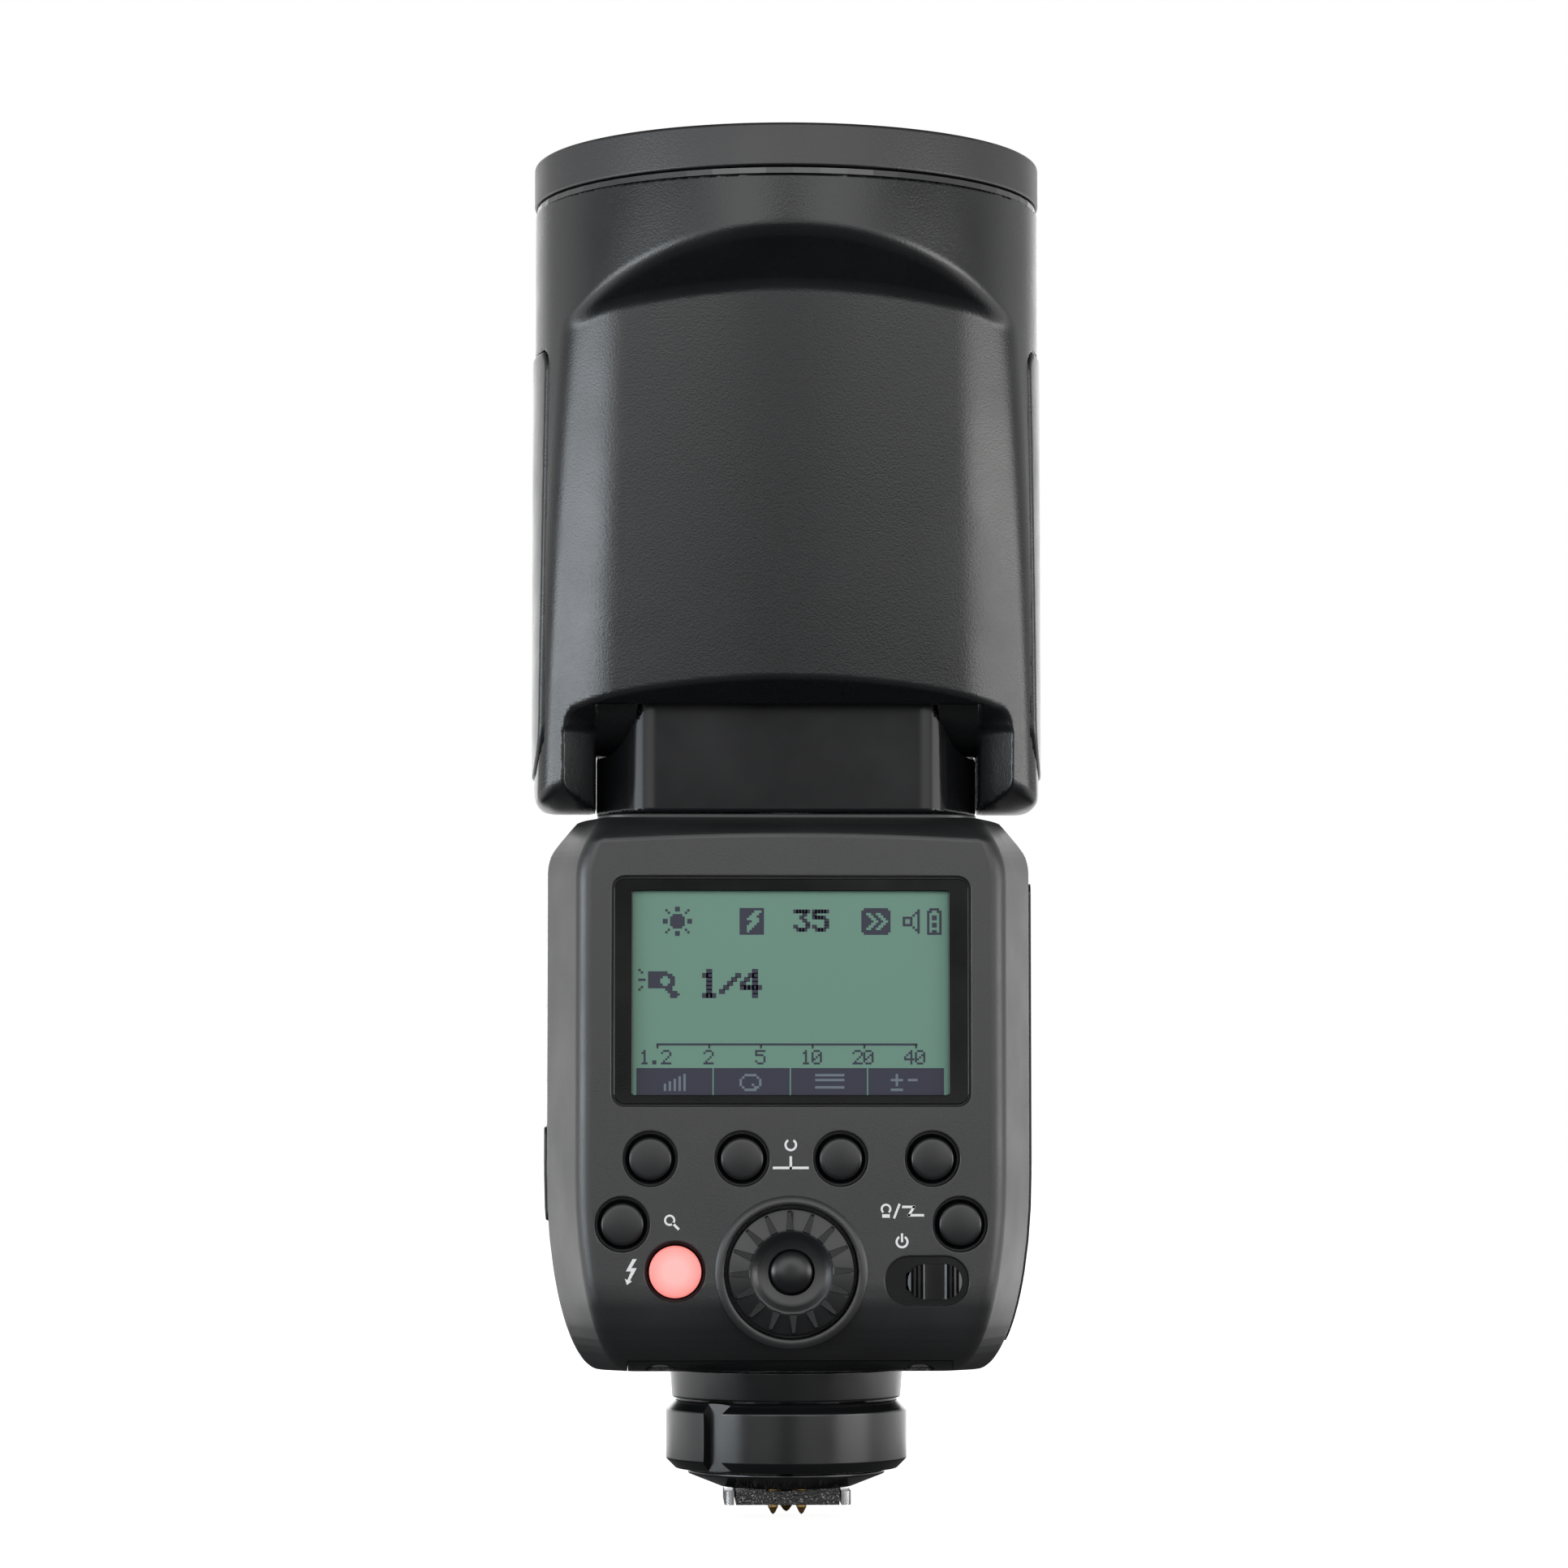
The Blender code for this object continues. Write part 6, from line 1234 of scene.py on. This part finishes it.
# How the notch widens toward its ends and outward, to the right and to the left
NOTCH_HALF, RIGHT_GROWTH, RIGHT_POWER, RIGHT_SLANT = 1.0, 2.6, 2.6, 0.7
LEFT_GROWTH, LEFT_POWER, LEFT_SLANT = 0.5, 4, 0.5
NECK_SECTION = [(17.3, 19.7), (17.0, 15.4), (12.0, 15.4), (12.0, 5.0), (3.0, 5.0), (3.0, 19.7)]
NECK_ROUNDS = [0.2, 0.35, 0.1, 0.1, 0.1, 0.1]
SHOE_SECTION = [(0, 4.7), (14.6, 4.7), (14.6, 4.2), (9.8, 2.3), (8.0, 2.3), (8.0, 4.0), (0, 4.0)]
SHOE_ROUNDS = [0, 0.15, 0.2, 0.2, 0.1, 0.1, 0]
LOCK_PIN_Y, LOCK_PIN_BORE, LOCK_PIN_TOP, LOCK_SLOT_HALF = 4.4, 1.3, 12.4, 0.9


def ring_notch(turn):
    """Groove down the ring's side that widens toward both ends, more to the right."""
    rings = []
    floor = -RING_RADIUS + NOTCH_DEPTH
    for step in range(NOTCH_STEPS + 1):
        share = 2 * step / NOTCH_STEPS - 1
        z = (RING_LOW + RING_HIGH) / 2 + share * NOTCH_REACH
        right = NOTCH_HALF + RIGHT_GROWTH * abs(share) ** RIGHT_POWER
        left = -NOTCH_HALF - LEFT_GROWTH * abs(share) ** LEFT_POWER
        outer = [(right + RIGHT_SLANT, NOTCH_OUT, z), (left - LEFT_SLANT, NOTCH_OUT, z)]
        rings.append([(left, floor, z), (right, floor, z)] + outer)
    return moved(loft(rings), Matrix.Rotation(NOTCH_TURN + turn, 4, "Z"))


def lock_ring():
    mesh = turned(rounded(RING_SECTION, RING_ROUNDS), 144)
    mesh = cut(mesh, several([ring_notch(turn) for turn in (0, math.pi)]))
    add_piece("lock_ring", mesh, RING, "lock_ring", bevel=0.12)


def neck():
    mesh = turned(rounded(NECK_SECTION, NECK_ROUNDS), 128)
    bore = shifted(cylinder(LOCK_PIN_BORE, 0, LOCK_PIN_TOP, 24), 0, LOCK_PIN_Y)
    slot = block((-LOCK_SLOT_HALF, LOCK_PIN_Y, 0), (LOCK_SLOT_HALF, 12.5, LOCK_PIN_TOP))
    add_piece("shoe_neck", cut(mesh, bore, slot), RING, "body")
    mesh = turned(rounded(SHOE_SECTION, SHOE_ROUNDS), 128)
    hole = shifted(cylinder(LOCK_PIN_BORE, 3, 6, 24), 0, LOCK_PIN_Y)
    add_piece("shoe_base", cut(mesh, hole), RING, "body")


# Finishes for the pieces that keep their CAD shape
def dress(name, material, bevel=0.0):
    piece = bpy.data.objects[name]
    piece.data.materials.clear()
    piece.data.materials.append(material)
    if bevel:
        soften(piece, bevel)


bpy.context.scene.view_settings.view_transform = "Standard"
add_camera()
add_world()
add_lights()
add_floor()

SHELL = finish("shell_plastic", (0.0095, 0.0102, 0.0112), 0.28, specular=0.52, relief=0.5)
BEZEL = finish("bezel_plastic", (0.012, 0.012, 0.013), 0.44, specular=0.75, relief=0.5)
PANEL = finish("panel_plastic", (0.0135, 0.014, 0.015), 0.40, specular=0.75)
PIVOT = finish("pivot_plastic", (0.0095, 0.010, 0.0110), 0.22, specular=0.28, relief=0.10)
STRIP = finish("strip_plastic", (0.030, 0.030, 0.032), 0.25, specular=0.8, relief=0.05)
GLOSS = finish("gloss_plastic", (0.004, 0.0043, 0.0047), 0.15, specular=0.30, relief=0.05)
KEYS = finish("key_plastic", (0.0075, 0.008, 0.009), 0.32, specular=0.55, relief=0.12)
RING = finish("ring_plastic", (0.0055, 0.006, 0.0065), 0.22, specular=0.62, relief=0.08)
RUBBER = finish("rubber", (0.012, 0.012, 0.013), 0.55)
RED = finish("red_key", (0.80, 0.16, 0.14), 0.42, relief=0.10, mottle=0.04)
CHROME = finish("chrome", (0.92, 0.92, 0.93), 0.16, metallic=1.0, relief=0.05)
STEEL = finish("steel", (0.46, 0.47, 0.48), 0.32, metallic=1.0)
BRASS = finish("brass", (0.62, 0.38, 0.14), 0.28, metallic=1.0)
INSERT = finish("rough_insert", (0.008, 0.008, 0.008), 0.24, specular=0.5, grain=0.26, relief=2.5)
SCREW = finish("black_screw", (0.010, 0.010, 0.011), 0.40)
BOARD = finish("circuit_board", (0.03, 0.15, 0.07), 0.5)
CREAM = finish("cream_plastic", (0.78, 0.77, 0.72), 0.45)
SENSOR_RED = finish("sensor_red", (0.06, 0.004, 0.005), 0.12, relief=0.04)
CLEAR = finish("frosted_clear", (0.93, 0.95, 0.95), 0.16, relief=0.1, mottle=0.03)
CLEAR.node_tree.nodes["Principled BSDF"].inputs["Transmission Weight"].default_value = 0.8
LCD = finish("lcd_green", (0.132, 0.270, 0.205), 0.45, relief=0.03, mottle=0.02, smudge=0.02)
LCD_INK = finish("lcd_ink", (0.018, 0.020, 0.042), 0.5, relief=0.02, mottle=0.03, smudge=0.02)
LCD_PALE = finish("lcd_pale", (0.14, 0.17, 0.20), 0.5, relief=0.02)
WHITE_INK = finish("white_ink", (0.85, 0.85, 0.85), 0.5, relief=0.05, mottle=0.03)
# Darker copy of the red key's plastic, without its glow: painted shade for the key's sides sunk in the hole
RED_SUNK_SHADE = finish("red_key_painted_shade", (0.10, 0.008, 0.009), 0.35, relief=0.10)
TEST_MIDDLE = (TEST_KEY[0], PANEL_Y - 0.6, TEST_KEY[1])
glow(RED, TEST_MIDDLE, reach=(1.6, 3.9), inside=(1.0, 0.57, 0.55), rim=(1.0, 0.26, 0.24), strength=0.66)
speckle(INSERT, size=0.24, colour=(0.24, 0.24, 0.23))

head_shell()
side_trims()
pivot_block()
bezel()
rear_cover()
body_shell()
side_doors()
base_plate()
keys()
dial()
power_slider()
display()
panel_marks()
lock_ring()
neck()

dress("gasket_strip", STRIP, 0.1)
dress("port_block", GLOSS, 0.1)
dress("foot_plate", CHROME, 0.25)
dress("foot_insert", INSERT, 0.15)
dress("sensor_window", SENSOR_RED, 0.3)
PLAIN = (
    (SHELL, "battery_bay zoom_carriage"),
    (BRASS, "contact_centre contact_left_1 contact_right_1 contact_left_2 contact_right_2"),
    (BRASS, "battery_terminals lead_screw"),
    (STEEL, "lock_pin swivel_shaft swivel_nut tilt_pin_left tilt_pin_right"),
    (STEEL, "zoom_motor guide_rod main_capacitor"),
    (SCREW, "base_screw_left base_screw_right"),
    (BOARD, "control_board power_board"),
    (CREAM, "modelling_lamp"),
    (RUBBER, "swivel_bush"),
    (CLEAR, "flash_tube front_lens"),
    (CHROME, "reflector"),
)
for material, names in PLAIN:
    for name in names.split():
        dress(name, material)
